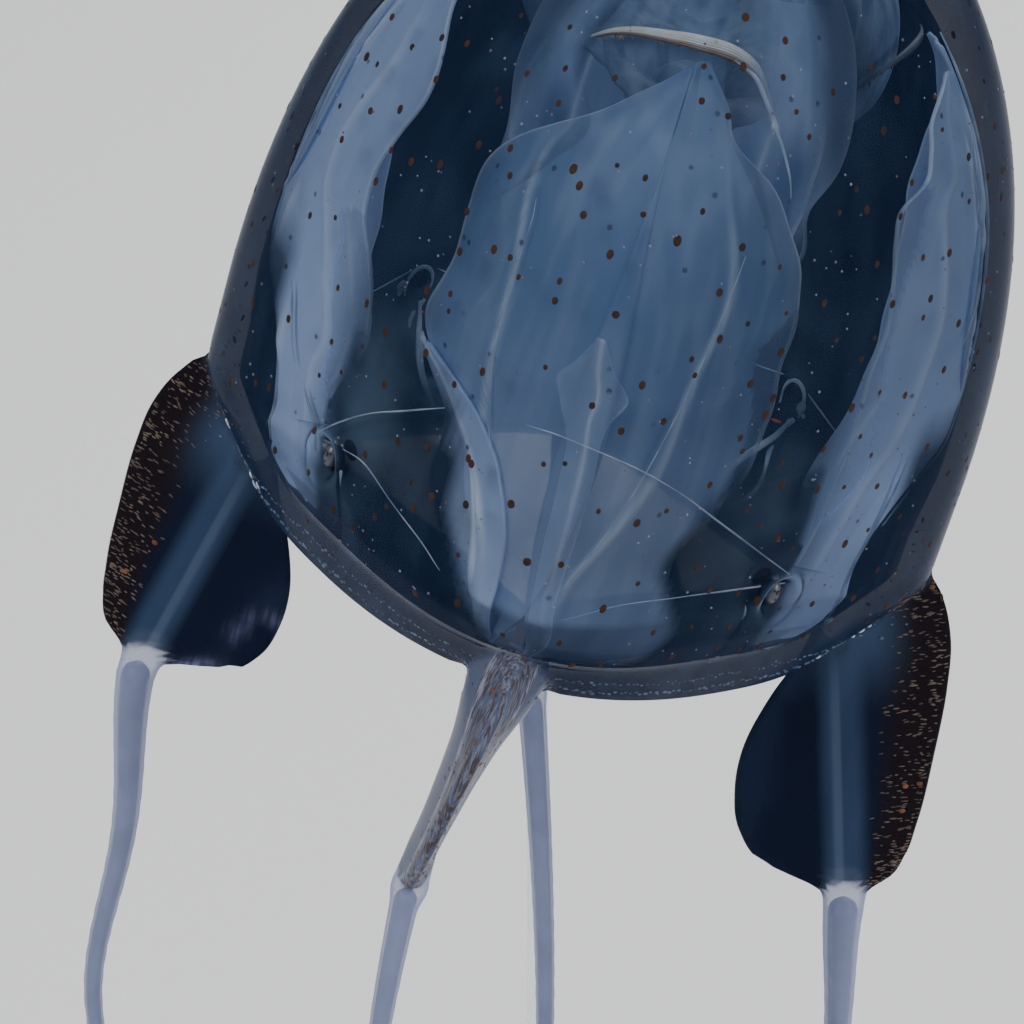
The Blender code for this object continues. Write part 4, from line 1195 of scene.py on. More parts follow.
def makeStomach():
    s = stomachShape
    turns = np.arange(s["sides"]) / s["sides"] * math.tau
    tables = [[(k, row[part]) for k, row in enumerate(s["profile"])] for part in range(4)]
    rings = []
    for step in np.linspace(0, len(s["profile"]) - 1, s["levels"]):
        z, half, lips, square = (float(curveThrough(rows, step)) for rows in tables)
        corner = (1 + np.cos(4 * turns)) / 2
        pipe = half * (1 + lips * np.cos(4 * turns))
        bag = sectionRadius(turns, half, s["square"])
        radius = pipe + (bag - pipe) * square
        folds = s["foldDepth"] * np.cos(s["folds"] * turns)
        radius += folds * smooth(radius, *s["foldRadius"]) * (1 - smooth(z, *s["foldTop"]))
        drop = s["droop"] * corner * smooth(radius, *s["droopRadius"])
        drop = drop * smooth(s["droopFrom"] - z, *s["droopOver"])
        rings.append(toWorld(polar(turns, radius, z - drop)))
    body = addObject("stomachBag", growRings(rings), stomachMaterial())
    dress(body, "stomach", "stomach", "manubrium")


makeStomach()
print("stomach")


# phacellae: a crescent of fine threads over each corner of the stomach
threadShape = {
    "path": [(-34, 44.7, 0.12), (-28, 45.8, 0.19), (-21.7, 46.7, 0.27), (-10.8, 47.7, 0.42), (0, 48.2, 0.55),
             (9, 48.0, 0.60), (16.2, 47.0, 0.5), (21, 45.6, 0.3), (26, 43.9, 0.14), (30, 42.6, 0.08)],
    "halfWidth": 13.4, "square": 3.2, "steps": 64, "threads": 18, "threadRadius": 0.085, "twist": 0.35,
    "sides": 6, "threadShare": 0.86, "threadLimit": 0.4, "bodyShare": 0.82, "bodySides": 20, "below": -0.3,
    "tips": 16, "tipLength": 0.4, "tipSteps": (0, 0.35, 0.7, 1), "tipRadii": (0.07, 0.07, 0.06, 0.03),
    "tipPlaces": (0.06, 0.56), "tipRoot": 0.7,
    "seed": 5, "dimScale": 0.55, "dimLength": 0.62, "dimTaper": 0.85,
}
threadFinish = {
    "front": (tint(0.62, 0.58, 0.50), tint(0.70, 0.74, 0.80)),
    "under": (tint(0.34, 0.22, 0.15), tint(0.46, 0.36, 0.28)),
    # dim: a darker copy of the thread colours for the three far crescents, painted shade
    "dim": (tint(0.045, 0.060, 0.080), tint(0.075, 0.090, 0.105)), "specks": (0.5, tint(0.34, 0.19, 0.10)),
    "roughness": 0.45, "bump": (0.4, 0.05),
    "grain": {"Cloud_Scale": 420.0, "Speck_Scale": 1500.0, "Speck_Size": 0.3, "Fine_Scale": 4000.0},
}


def threadCentre(corner, hand, share):
    t = threadShape
    swing = t["path"][0][0] + (t["path"][-1][0] - t["path"][0][0]) * share
    z = curveThrough([(row[0], row[1]) for row in t["path"]], swing)
    radius = curveThrough([(row[0], row[2]) for row in t["path"]], swing)
    angle = np.radians(cornerTurns[corner] + hand * swing)
    return polar(angle, sectionRadius(angle, t["halfWidth"], t["square"]), z), radius


def makePhacella(corner, hand, size, length, materials):
    t = threadShape
    share = np.linspace(0, length, t["steps"])
    centre, radius = threadCentre(corner, hand, share)
    radius = radius * size * (1 if length == 1 else 1 - t["dimTaper"] * smooth(share / length, 0.6, 1.0))
    along = np.gradient(centre, axis=0)
    along /= np.linalg.norm(along, axis=1, keepdims=True)
    outward = centre * (1, 1, 0)
    outward /= np.linalg.norm(outward, axis=1, keepdims=True)
    upward = np.cross(outward, along) * hand
    parts = [tube(centre, radius * t["bodyShare"], t["bodySides"], (0, 0, 1))]
    under = []
    for strand in range(t["threads"]):
        turn = math.tau * (strand / t["threads"] + t["twist"] * share / 6)
        offset = np.cos(turn)[:, None] * outward + np.sin(turn)[:, None] * upward
        path = centre + offset * (radius * t["threadShare"])[:, None]
        made = tube(path, np.minimum(t["threadRadius"], radius * t["threadLimit"]), t["sides"], (0, 0, 1))
        (under if math.sin(turn[0]) < t["below"] else parts).append(made)
    draw = random.Random(t["seed"])
    for _ in range(t["tips"]):  # loose ends that hang from the lower side
        place = int(draw.uniform(*t["tipPlaces"]) * t["steps"])
        start = centre[place] - upward[place] * radius[place] * t["tipRoot"]
        lean = along[place] * draw.uniform(-0.4, 0.4) + outward[place] * draw.uniform(-0.5, 0.5)
        reach = t["tipLength"] * draw.uniform(0.6, 1.2)
        path = []
        for step in t["tipSteps"]:
            path.append(start + (lean * step - upward[place] * (1 + step) * 0.5) * reach * step)
        under.append(tube(path, t["tipRadii"], t["sides"], (0, 0.3, 1)))
    dress(joinBodies("threads_" + corner, parts, materials[0]), "phacella", "phacella_" + corner)
    dress(joinBodies("threadsBelow_" + corner, under, materials[1]), "phacella")


def makePhacellae():
    t = threadShape
    bright, below, dim = (
        grainedMaterial(name, dict(threadFinish, colours=threadFinish[kind]))
        for name, kind in (("gastricThreads", "front"), ("gastricThreadsBelow", "under"),
                           ("gastricThreadsDim", "dim")))
    for corner, hand in {"front": 1, "right": 1, "back": -1, "left": -1}.items():
        if corner == "front":
            makePhacella(corner, hand, 1.0, 1.0, (bright, below))
        else:
            # the far crescents are smaller and get the darker copy: painted shade
            makePhacella(corner, hand, t["dimScale"], t["dimLength"], (dim, dim))


makePhacellae()
print("phacellae")


# rhopalia: a sense club with its eyes in each niche
clubShape = {  # the stalk is (lower radius, upper radius, length), an eye (along the face, up, size)
    "out": 24.25, "z": 9.2, "radii": (0.5, 0.58, 0.95), "stalkAt": (-0.15, 0, 0.85), "stalk": (0.3, 0.2, 1.2),
    "eye": 0.2, "eyeOut": 0.42,
    "eyes": ((0.0, 0.25, 1.0), (0.0, -0.32, 0.7), (0.3, 0.42, 0.45), (-0.3, 0.42, 0.45)),
}
clubFinish = {
    "colours": (tint(0.032, 0.040, 0.060), tint(0.065, 0.068, 0.085)),
    "painted": ("eyeShare", tint(0.008, 0.006, 0.006)),
    "roughness": 0.3, "bump": (0.3, 0.04), "grain": {"Cloud_Scale": 900.0},
}


def makeClubs():
    c = clubShape
    material = grainedMaterial("senseClub", clubFinish)
    for side, degrees in faceTurns.items():
        bm = bmesh.new()
        eyes = bm.verts.layers.float.new("eyeShare")
        place = faceMatrix(degrees, c["out"], c["z"])
        size = Matrix.Diagonal((*[radius * mm for radius in c["radii"]], 1.0))
        bmesh.ops.create_uvsphere(bm, u_segments=28, v_segments=18, radius=1.0, matrix=place @ size)
        stalk = place @ Matrix.Translation(Vector(c["stalkAt"]) * mm)
        lower, upper, length = (size * mm for size in c["stalk"])
        bmesh.ops.create_cone(bm, cap_ends=True, segments=18, radius1=lower, radius2=upper, depth=length,
                              matrix=stalk)
        for y, z, size in c["eyes"]:
            spot = place @ Matrix.Translation(Vector((c["eyeOut"], y, z)) * mm)
            made = bmesh.ops.create_icosphere(bm, subdivisions=2, radius=c["eye"] * size * mm, matrix=spot)
            for vert in made["verts"]:
                vert[eyes] = 1.0
        club = addObject("club_" + side, bm, material)
        dress(club, "rhopalium", "rhopalium_" + side)


makeClubs()
print("sense clubs")


# tentacle cores, seen through the clear outer sheath
coreShape = {"share": 0.76, "start": 1.0, "end": 2.2, "sides": 20, "firstEnd": 0.15, "roundedEnd": 2.5}
coreFinish = {
    "colours": (tint(0.075, 0.095, 0.175), tint(0.12, 0.145, 0.245)), "specks": (0.3, tint(0.3, 0.3, 0.38)),
    "roughness": 0.5, "bump": (0.3, 0.05),
    "grain": {"Cloud_Scale": 300.0, "Speck_Scale": 1500.0, "Speck_Size": 0.25},
}


def makeCores():
    c = coreShape
    parts = []
    for corner, spec in limbShape.items():
        path, _, drops = limbPath(corner, spec)
        kept = (drops > c["start"]) & (drops < drops[-1] - c["end"])
        radii = cordRadius(spec, drops[kept]) * c["share"]
        ends = np.minimum(np.arange(len(radii)), np.arange(len(radii))[::-1])
        radii = radii * np.sqrt(1 - (1 - np.clip((ends + c["firstEnd"]) / c["roundedEnd"], 0, 1)) ** 2)
        parts.append(growRings(sweepRings(path[kept], radii, c["sides"])))
    dress(joinBodies("tentacleCores", parts, grainedMaterial("tentacleCore", coreFinish)), "tentacle")


makeCores()
print("tentacle cores")


# small things on the skin: pigment spots, warts, dashes on the keels
spotShape = {"spacing": 3.4, "jitter": 0.42, "radius": (0.17, 0.31), "flat": 0.15, "from": 4.0, "to": 60.0,
             "stretch": (1.0, 1.4), "rowShare": 0.87, "skip": 0.28, "seed": 11}
wartShape = {"count": 1100, "radius": (0.06, 0.13), "flat": 0.5, "from": 0.5, "to": 60.5, "thinning": 26,
             "seed": 12}
rimWartShape = {"rows": ((0.15, 0.13), (1.5, 0.1)), "around": 24, "spacing": 0.42, "shift": 0.35, "rise": 0.2,
                "sizes": (0.6, 1.3), "wide": 1.5, "high": 0.8, "seed": 13}
dashShape = {"count": 780, "along": (-0.22, 0.97), "from": 0.36, "to": 0.97, "long": (0.12, 0.34),
             "thin": 0.075, "thinness": (0.6, 1.3), "flat": 0.6, "slant": 0.2, "paleLoss": 0.9,
             "rustShare": 0.008, "rust": (0.27, 0.22, 0.10), "seed": 14}
touchShape = {"from": 3.0, "besideBlade": 6.0, "reach": 30.0, "crownFrom": 40.0, "crownOver": 20.0,
              "crownTilt": 0.9}
spotFinish = {
    "spot": (tint(0.034, 0.012, 0.006), tint(0.014, 0.008, 0.007)),
    "wart": (tint(0.085, 0.060, 0.080), tint(0.13, 0.16, 0.22)),
    "dash": (tint(0.115, 0.088, 0.066), tint(0.055, 0.043, 0.040)),
    # nodule: bumps at the paddle joints, painted pale as their glossy highlight
    "highlightNodule": (tint(0.45, 0.48, 0.54), tint(0.30, 0.34, 0.42)),
    "rust": (tint(0.17, 0.065, 0.022), tint(0.10, 0.04, 0.02)),
    "spindle": (tint(0.62, 0.13, 0.04), tint(0.35, 0.10, 0.05)),
    "rim": (tint(0.035, 0.050, 0.080), tint(0.10, 0.13, 0.18)),
    # hollow: the near-black discs of painted shade in the niches
    "hollow": (tint(0.004, 0.006, 0.014), tint(0.010, 0.009, 0.012)),
    "knob": (tint(0.16, 0.17, 0.24), tint(0.30, 0.30, 0.38)), "roughness": 0.7, "specular": 0.15,
    "bump": (0.3, 0.03), "grain": {"Cloud_Scale": 900.0, "Fine_Scale": 5000.0},
}
skinTree = BVHTree.FromObject(skin, bpy.context.evaluated_depsgraph_get())


# bell millimetres in; the place on the skin and its normal out, in world metres
def touchSkin(origin, direction):
    start = Vector(toWorld(origin)) * mm
    aim = Vector(bellTurn @ np.asarray(direction, float)).normalized()
    return skinTree.ray_cast(start, aim, touchShape["reach"] * mm)[:2]


def touchBell(angle, z):
    t = touchShape
    out = np.array((math.cos(angle), math.sin(angle), 0.0))
    rise = t["crownTilt"] * max(z - t["crownFrom"], 0.0) / t["crownOver"]
    spot = polar(angle, outerRadius(angle, z), z)
    return touchSkin(spot + (out + (0, 0, rise)) * t["from"], -out - (0, 0, rise))


def beadPlace(spot, normal, along, radii):  # a low bump on the skin, long along one direction
    side = normal.cross(Vector(along)).normalized()
    turn = Matrix((side.cross(normal), side, normal)).transposed().to_4x4()
    return Matrix.Translation(spot) @ turn @ Matrix.Diagonal((*[radius * mm for radius in radii], 1.0))


def growBeads(name, places, finish, slot, detail=1):
    parts = []
    for first in range(0, len(places), 50):
        bm = bmesh.new()
        for place in places[first:first + 50]:
            bmesh.ops.create_icosphere(bm, subdivisions=detail, radius=1.0, matrix=place)
        parts.append(bm)
    look = dict(spotFinish, colours=spotFinish[finish])
    material = grainedMaterial(name + "Finish", look, Specular_IOR_Level=look["specular"])
    dress(joinBodies(name, parts, material), slot)


def makeSpots():
    s = spotShape
    draw = random.Random(s["seed"])
    places = []
    for row, z in enumerate(np.arange(s["from"], s["to"], s["spacing"] * s["rowShare"])):
        around = math.tau * float(outerRadius(math.pi / 4, z))
        count = max(3, int(around / s["spacing"]))
        for place in range(count):
            turn = (place + 0.5 * (row % 2) + draw.uniform(-1, 1) * s["jitter"]) / count * math.tau
            height = z + draw.uniform(-1, 1) * s["jitter"] * s["spacing"]
            size = draw.uniform(*s["radius"])
            if draw.random() < s["skip"]:
                continue
            spot, normal = touchBell(turn, min(height, s["to"]))
            if spot:
                radii = (size * draw.uniform(*s["stretch"]), size, size * s["flat"])
                places.append(beadPlace(spot, normal, bellTurn[:, 2], radii))
    growBeads("pigmentSpots", places, "spot", "bell_jelly", 2)


def makeWarts():
    w = wartShape
    draw = random.Random(w["seed"])
    places = []
    for _ in range(w["count"]):
        angle, height = draw.uniform(0, math.tau), draw.uniform(w["from"], w["to"])
        size = draw.uniform(*w["radius"])
        spot, normal = touchBell(angle, height)
        if spot and draw.random() < float(outerRadius(angle, height)) / w["thinning"]:
            places.append(beadPlace(spot, normal, bellTurn[:, 2], (size, size, size * w["flat"])))
    growBeads("skinWarts", places, "wart", "bell_jelly")


def makeRimWarts():
    r = rimWartShape
    draw = random.Random(r["seed"])
    places = []
    for z, size in r["rows"]:
        count = int(math.tau * r["around"] / r["spacing"])
        for place in range(count):
            angle = (place + draw.uniform(-r["shift"], r["shift"])) / count * math.tau
            radius = size * draw.uniform(*r["sizes"])
            spot, normal = touchBell(angle, z + draw.uniform(-r["rise"], r["rise"]))
            if spot:
                radii = (radius, radius * r["wide"], radius * r["high"])
                places.append(beadPlace(spot, normal, bellTurn[:, 2], radii))
    growBeads("rimWarts", places, "rim", "bell_jelly")


def makeDashes():
    d = dashShape
    draw = random.Random(d["seed"])
    dashes, rust = [], []
    for spec in limbShape.values():
        joint, canal, outward, flat = bladeAxes(spec)
        for number in range(int(d["count"] * (1 - d["paleLoss"] * spec.get("pale", 0)))):
            share = draw.uniform(*d["along"])
            place = d["from"] + (d["to"] - d["from"]) * draw.random() ** 0.5
            width = place * float(curveThrough(keelShape["outer"], share))
            side = 1 if number % 2 else -1
            reach = draw.uniform(*d["long"])
            thin = d["thin"] * draw.uniform(*d["thinness"])
            beside = flat * side * touchShape["besideBlade"]
            spot, normal = touchSkin(joint + canal * share + outward * width + beside, -beside)
            if not spot:
                continue
            along = bellTurn @ (outward + d["slant"] * draw.uniform(-1, 1) * canal / np.linalg.norm(canal))
            if draw.random() < d["rustShare"]:
                rust.append(beadPlace(spot, normal, along, d["rust"]))
            else:
                dashes.append(beadPlace(spot, normal, along, (reach, thin, thin * d["flat"])))
    growBeads("keelDashes", dashes, "dash", "pedalium")
    growBeads("keelSpots", rust, "rust", "pedalium", 2)


makeSpots()
makeWarts()
makeRimWarts()
makeDashes()
print("spots, warts and dashes")


# mouth edge, sense-club strands, joint nodules painted pale as highlights
mouthEdgeShape = {"radius": 0.24, "inset": 0.05, "points": 241, "beads": (0.7, 0.5, 9, 1.0), "sides": 10}
strandShape = {  # a thread that hangs from each sense club to the velarium
    "radius": 0.2, "points": 26, "from": -1.2, "to": 0.5, "shift": -0.9, "sway": 1.6, "swayTurn": 5.2,
    "inset": 0.35, "reach": 3.2, "swelling": (0.6, 0.5, 8),
}
frillShape = {"radius": 0.3, "points": 18, "sides": 10}
# the niche seen from inside: an arch with threads at both feet, a dark disc of painted shade for its hollow,
# a red spindle and pale knobs
nicheMarkShape = {
    "z": 9.3, "lift": 0.18, "rise": 1.5, "half": 1.3, "line": 0.15, "points": 22, "overrun": 0.35,
    "footDrop": 2.2, "swelling": (0.45, 0.75), "legTurn": (0.07, 0.30), "legTurns": (0.8, 1.2),
    "legTop": 1.2, "legFoot": (-1.5, 0.3), "legRadii": (0.03, 0.06, 0.07, 0.07, 0.06, 0.05, 0.04, 0.03),
    "hollow": (1.0, 0.8, 0.25), "hollowAt": (0.1, 0.3, 0.1), "spindle": (0.62, 0.13, 0.13),
    "spindleAt": (0.9, -2.7, 0.2), "lean": -0.3, "knobs": 5, "knob": 0.5, "knobFlat": 0.15,
    "knobAt": (-1.4, 0.12), "knobAside": 0.45, "knobRise": (-0.9, 0.3), "knobSizes": (0.5, 1.0), "seed": 21,
}
noduleShape = {
    "count": 6, "size": 0.55, "sizes": (0.3, 0.75), "stretch": (1.3, 0.6, 0.4), "outward": (-1.6, -0.4),
    "across": (-0.9, 0.9), "down": (0.0, 0.08), "seed": 21,
    # a pale knot where a canal meets the rim, a painted highlight: (degrees around the bell, height), and its
    # three beads
    "knots": ((-168.7, 3.0), (-12.9, 2.3)), "knotShifts": (-0.5, 0.0, 0.45), "knotAlong": (0.3, 0.2, 1.0),
    "knot": (0.30, 0.17, 0.12), "knotFall": 0.25,
}
lineFinish = {
    "colours": (tint(0.30, 0.38, 0.50), tint(0.56, 0.63, 0.74)), "film": (0.6, 1.0),
    "lamp": tint(0.5, 0.5, 0.5), "roughness": 0.35, "bump": (0.3, 0.04), "grain": {"Cloud_Scale": 500.0},
}


# fine lines on the cavity's wall: (degrees around the bell, height, radius)
# the number before them is how far they stand off the wall, below zero for how deep in the jelly they lie
seamLines = {
    # the left and right lines are pale septum edges that also serve as painted highlights along the leaf
    # edges
    "leftOuter": (0.22, [(178.8, 38, 0.05), (179.2, 35.4, 0.12), (179.4, 32.4, 0.14), (179.8, 29.4, 0.13),
                         (180.3, 26.8, 0.10), (180.8, 23.3, 0.06), (182.5, 20.0, 0.07), (186.5, 17.6, 0.12),
                         (193.5, 14.8, 0.13), (196.8, 12.2, 0.08), (199.4, 9.3, 0.12), (200.6, 7.0, 0.14),
                         (199.1, 4.1, 0.08)]),
    "leftInner": (0.22, [(196.4, 17.3, 0.03), (198, 16, 0.11), (200.8, 13.2, 0.09), (203, 11.8, 0.03)]),
    "leftLow": (0.22, [(207, 11, 0.03), (209.1, 10.1, 0.11), (212.8, 8.9, 0.12), (215, 7.1, 0.07)]),
    "rightOuter": (0.15, [(7, 47.9, 0.06), (4.9, 45.4, 0.11), (3.5, 42.7, 0.14), (1.8, 38.4, 0.13),
                          (0.3, 32.4, 0.13), (-0.3, 29.3, 0.12), (-0.7, 26.9, 0.1), (-1.2, 22.6, 0.07),
                          (-4, 18.7, 0.07), (-10.5, 16.4, 0.08), (-13.9, 14.4, 0.07), (-16.8, 12.2, 0.06)]),
    "rightInner": (0.22, [(-1.1, 42.8, 0.03), (-4.3, 40.4, 0.08), (-4.9, 37.5, 0.10), (-4.7, 33, 0.13),
                          (-5.5, 29.9, 0.11), (-8.6, 26.7, 0.04)]),
    "rightLow": (0.22, [(-16.1, 18.3, 0.03), (-17, 15.3, 0.11), (-18.7, 11.8, 0.12), (-20.4, 8.4, 0.10),
                        (-20, 5.5, 0.07), (-16, 2.5, 0.04)]),
    "frontRib": (0.3, [(-70.5, 36.1, 0.02), (-72.6, 31.4, 0.035), (-75.4, 25.4, 0.05), (-78.7, 18.9, 0.05),
                       (-82.1, 13.7, 0.04), (-85.8, 9.1, 0.02)]),
    "frontSeam": (0.3, [(-111, 35.5, 0.02), (-109.9, 33.3, 0.03), (-108.9, 25, 0.035), (-105.1, 19.5, 0.04),
                        (-101, 16.4, 0.02)]),
    "acrossRight": (-1.0, [(-98.1, 21.6, 0.02), (-93.1, 21.9, 0.06), (-86.7, 21.6, 0.035),
                           (-79.9, 20.6, 0.065), (-72, 18.7, 0.045), (-62, 15.8, 0.08), (-50.1, 12.6, 0.06),
                           (-40.4, 10.1, 0.04)]),
    "acrossLeft": (-1.0, [(-141.9, 9.5, 0.04), (-136.9, 11.6, 0.08), (-129.8, 14.1, 0.05),
                          (-121.5, 16.4, 0.08), (-113, 18.9, 0.03)]),
    "pocketLeft": (-1.0, [(-139.5, 9.4, 0.09), (-133.5, 10, 0.035), (-127.4, 10.3, 0.06), (-119, 9.4, 0.03),
                          (-110.3, 8.4, 0.05), (-105, 7.3, 0.02)]),
    "pocketRight": (-1.0, [(-84.7, 7.4, 0.02), (-76.1, 9.1, 0.04), (-65.3, 9.5, 0.03), (-54.3, 9.5, 0.07),
                           (-40.9, 9.4, 0.05)]),
    "tail": (0.9, [(-80.7, 47.9, 0.05), (-74.6, 47.1, 0.16), (-71.2, 45.9, 0.19), (-68.4, 44.7, 0.17),
                   (-67.6, 44.2, 0.27), (-66.6, 43.7, 0.12), (-65.1, 43, 0.10), (-62.2, 41.1, 0.08),
                   (-61.0, 39.6, 0.03)]),
}


def wallPath(turn, z, lift):  # a path on the cavity's wall
    return polar(turn, cavityRadius(turn, z) - lift, z)


def seamTubes():
    made = []
    for lift, rows in seamLines.values():
        steps = np.linspace(0, len(rows) - 1, 8 * len(rows))
        turn, z, radius = (
            curveThrough([(k, row[part]) for k, row in enumerate(rows)], steps) for part in range(3))
        angle = np.radians(turn)
        made.append(tube(wallPath(angle, z, lift), radius))
    return made


def mouthEdge():
    e, v = mouthEdgeShape, velariumShape
    turns = np.linspace(0, math.tau, e["points"])
    z = v["z"] + v["rise"] * np.sin(math.pi * ((turns / (math.pi / 2)) % 1.0))
    low, swing, count, shift = e["beads"]
    radii = e["radius"] * (low + swing * np.abs(np.sin(turns * count + shift)))
    return tube(polar(turns, mouthRadius(turns) - e["inset"], z), radii, e["sides"])


def strand(degrees):
    s = strandShape
    angle = math.radians(degrees)
    steps = np.linspace(0, 1, s["points"])
    height = lerp(nicheShape["z"] + s["from"], velariumShape["z"] + s["to"], steps)
    sway = s["shift"] + s["sway"] * np.sin(steps * s["swayTurn"]) * (0.4 + 0.6 * steps)
    reach = cavityRadius(angle, height) - s["inset"] - s["reach"] * steps ** 3
    low, swing, count = s["swelling"]
    radii = s["radius"] * (low + swing * np.abs(np.sin(steps * count + degrees)))
    return tube(polar(angle, reach, height) + polar(angle + math.pi / 2, sway, 0), radii)


def frill(angle):  # the frenulum's free edge
    rise = np.linspace(0, 1, frillShape["points"])
    radii = frillShape["radius"] * (0.5 + 0.5 * np.sin(rise * math.pi))
    return tube(frenulumPoint(angle, rise, 1.0), radii, frillShape["sides"])


def nicheArch(angle):
    n = nicheMarkShape
    swing = np.linspace(-n["overrun"], math.pi + n["overrun"], n["points"])
    wide, high = -np.cos(swing) * n["half"], np.sin(swing) * n["rise"]
    high = np.where(high < 0, high * n["footDrop"], high)
    low, middle = n["swelling"]
    radii = n["line"] * (low + middle * np.sin(np.linspace(0, math.pi, n["points"])))
    return tube(wallPath(angle + wide / cavityRadius(angle, n["z"]), n["z"] + high, n["lift"]), radii)


def nicheLeg(angle, hand, draw):
    n = nicheMarkShape
    count = len(n["legRadii"])
    turn = angle + hand * np.linspace(*n["legTurn"], count) * draw.uniform(*n["legTurns"])
    heights = n["z"] + np.linspace(n["legTop"], draw.uniform(*n["legFoot"]), count)
    return tube(wallPath(turn, heights, n["lift"]), n["legRadii"], 6)


def makeThreadLines():
    draw = random.Random(nicheMarkShape["seed"])
    parts = [mouthEdge()]
    for degrees in faceTurns.values():
        angle = math.radians(degrees)
        parts += [strand(degrees), frill(angle), nicheArch(angle)]
        parts += [nicheLeg(angle, hand, draw) for hand in (-1.0, 1.0)]
    dress(joinBodies("mouthEdge", parts + seamTubes(), grainedMaterial("paleThread", lineFinish)), "velarium")


makeThreadLines()
print("mouth edge and strands")


def makeNodules():
    s = noduleShape
    draw = random.Random(s["seed"])
    nodules = []
    for corner in ("left", "right"):
        joint, canal, outward, flat = bladeAxes(limbShape[corner])
        for _ in range(s["count"]):
            place = joint + outward * draw.uniform(*s["outward"]) + flat * draw.uniform(*s["across"])
            place = place - canal * draw.uniform(*s["down"])
            for side in (1, -1):
                beside = flat * side * touchShape["besideBlade"]
                spot, normal = touchSkin(place + beside, -beside)
                if spot:
                    size = s["size"] * draw.uniform(*s["sizes"])
                    nodules.append(beadPlace(spot, normal, bellTurn @ canal,
                                             [size * part for part in s["stretch"]]))
    for degrees, z in s["knots"]:
        for shift in s["knotShifts"]:
            spot, normal = touchBell(math.radians(degrees + shift * 2), z + shift)
            if spot:
                long, wide, high = s["knot"]
                radii = (long - abs(shift) * s["knotFall"], wide, high)
                nodules.append(beadPlace(spot, normal, s["knotAlong"], radii))
    # the pale nodules and knots at the joints paint the highlight there
    growBeads("jointNodules", nodules, "highlightNodule", "pedalium", 2)
    return draw


def onWall(angle, aside, z, lift):  # a place on the cavity's wall and the direction to the middle of the bell
    turn = angle + aside / float(cavityRadius(angle, z))
    inward = np.array((-math.cos(turn), -math.sin(turn), 0.0))
    return Vector(toWorld(wallPath(turn, z, lift))) * mm, Vector(bellTurn @ inward)


def makeNicheMarks(draw):
    n = nicheMarkShape
    spindles, hollows, knobs = [], [], []
    for side, degrees in faceTurns.items():
        angle = math.radians(degrees)
        hand = -1 if side in ("front_right", "back_left") else 1
        around = Vector(bellTurn @ np.array((-math.sin(angle), math.cos(angle), n["lean"] * hand)))
        # a dark disc of painted shade where the niche's hollow lies
        aside, rise, lift = n["hollowAt"]
        hollows.append(beadPlace(*onWall(angle, aside, n["z"] + rise, lift), around, n["hollow"]))
        aside, rise, lift = n["spindleAt"]
        spindles.append(beadPlace(*onWall(angle, aside * hand, n["z"] + rise, lift), around, n["spindle"]))
        for _ in range(n["knobs"]):
            aside, lift = n["knobAt"]
            aside = aside * hand + draw.uniform(-n["knobAside"], n["knobAside"])
            place = onWall(angle, aside, n["z"] + draw.uniform(*n["knobRise"]), lift)
            size = n["knob"] * draw.uniform(*n["knobSizes"])
            knobs.append(beadPlace(*place, around, (size * 0.8, size, n["knobFlat"])))
    for name, places, finish in (("redSpindles", spindles, "spindle"), ("nicheHollows", hollows, "hollow"),
                                 ("nicheKnobs", knobs, "knob")):
        growBeads(name, places, finish, "rhopalium", 2)


makeNicheMarks(makeNodules())
print("nodules and niche marks")


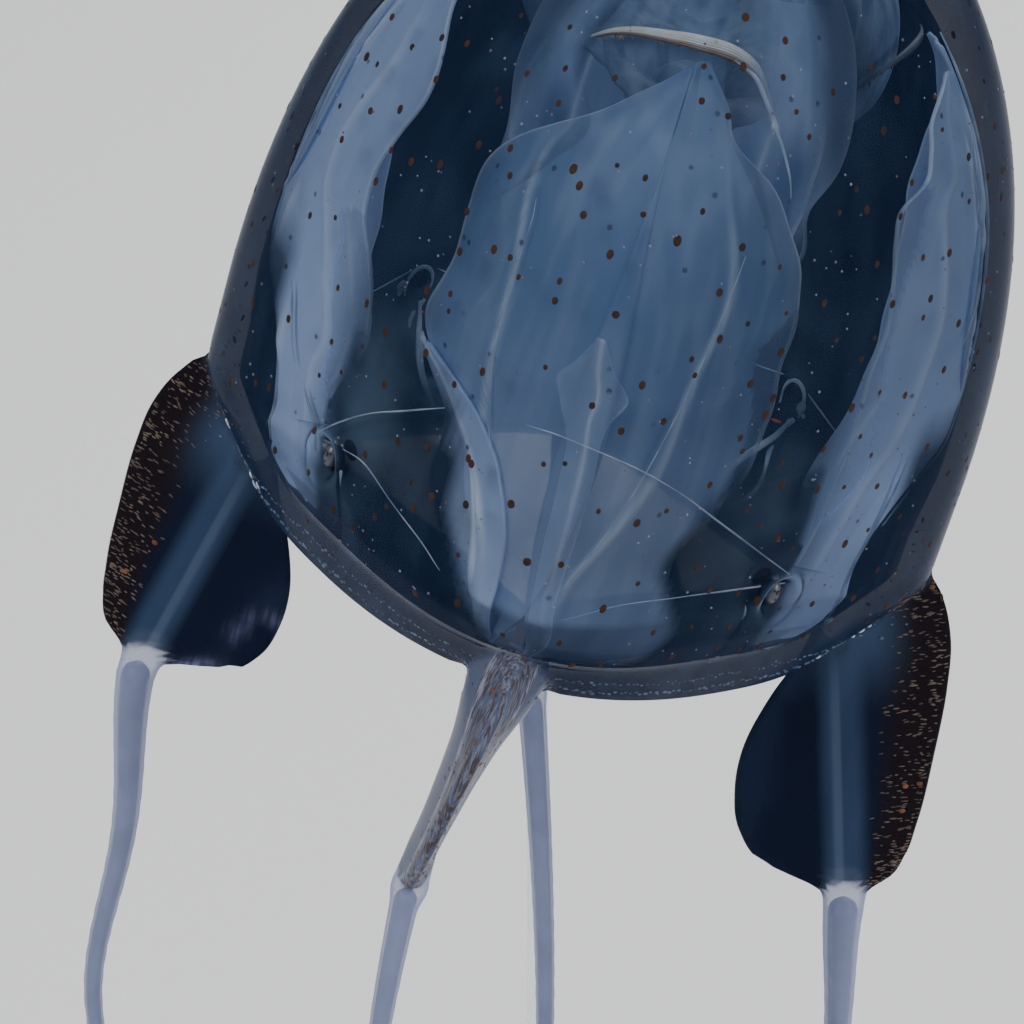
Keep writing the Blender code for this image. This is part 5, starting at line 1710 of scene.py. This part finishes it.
# stand
standFinish = {
    "satinBase": {
        "colours": (tint(0.012, 0.012, 0.014), tint(0.030, 0.030, 0.034)), "clouds": 0.5, "roughness": 0.4,
        "polish": (0.34, 0.46), "bump": (0.15, 0.03), "grain": {"Cloud_Scale": 60.0, "Fine_Scale": 5000.0}},
    "clearRod": {
        "colours": (tint(0.86, 0.90, 0.93), tint(0.70, 0.76, 0.80)), "roughness": 0.06, "film": (0.12, 0.75),
        "lamp": tint(0.85, 0.88, 0.9), "bump": (0.05, 0.03),
        "grain": {"Cloud_Scale": 90.0, "Fine_Scale": 900.0}},
}
for node, name, ior in (("stand_base", "satinBase", 1.5), ("stand_rod", "clearRod", 1.49)):
    material = grainedMaterial(name, standFinish[name], IOR=ior)
    for slot in bpy.data.objects[node].material_slots:
        slot.material = material
print("stand")


# camera, light and floor
viewPlan = {"aim": (-0.00299, 0.00050, 0.15090), "rise": 29.0, "distance": 0.330, "lens": 147.3}
lightPlan = {
    "key": {"from": (-0.55, -0.45, 0.85), "size": 0.45, "power": 9.0},
    "fill": {"from": (0.75, -0.55, 0.45), "size": 0.6, "power": 6.5},
    "back": {"from": (0.25, 0.75, 0.75), "size": 0.5, "power": 6.0},
    "world": tint(0.80, 0.84, 0.90), "worldStrength": 0.45, "floorSize": 4.0,
    "floor": {"colours": (tint(0.74, 0.74, 0.73), tint(0.7, 0.7, 0.7)), "clouds": 0.05, "roughness": 0.7,
              "grain": {"Cloud_Scale": 6.0}},
}


def pointAt(made, target):
    away = (made.location - Vector(target)).normalized()
    made.rotation_euler = away.to_track_quat('Z', 'Y').to_euler()


def makeCamera():
    v = viewPlan
    camera = bpy.data.cameras.new("camera")
    camera.lens = v["lens"]
    camera.sensor_width = 36.0
    camera.clip_start = 0.01
    made = link("camera", camera)
    rise = math.radians(v["rise"])
    made.location = Vector(v["aim"]) + Vector((0, -math.cos(rise), math.sin(rise))) * v["distance"]
    made.rotation_euler = (math.pi / 2 - rise, 0, 0)
    bpy.context.scene.camera = made


def makeLights():
    for name in ("key", "fill", "back"):
        plan = lightPlan[name]
        light = bpy.data.lights.new(name, 'AREA')
        light.size = plan["size"]
        light.energy = plan["power"]
        made = link(name, light)
        made.location = plan["from"]
        pointAt(made, viewPlan["aim"])
    world = bpy.data.worlds.new("studio")
    world.use_nodes = True
    world.node_tree.nodes["Background"].inputs["Color"].default_value = lightPlan["world"]
    world.node_tree.nodes["Background"].inputs["Strength"].default_value = lightPlan["worldStrength"]
    bpy.context.scene.world = world


def makeFloor():
    bm = bmesh.new()
    bmesh.ops.create_grid(bm, x_segments=1, y_segments=1, size=lightPlan["floorSize"])
    addObject("floor", bm, grainedMaterial("studioFloor", lightPlan["floor"]))


makeCamera()
makeLights()
makeFloor()
print("camera, lights and floor")
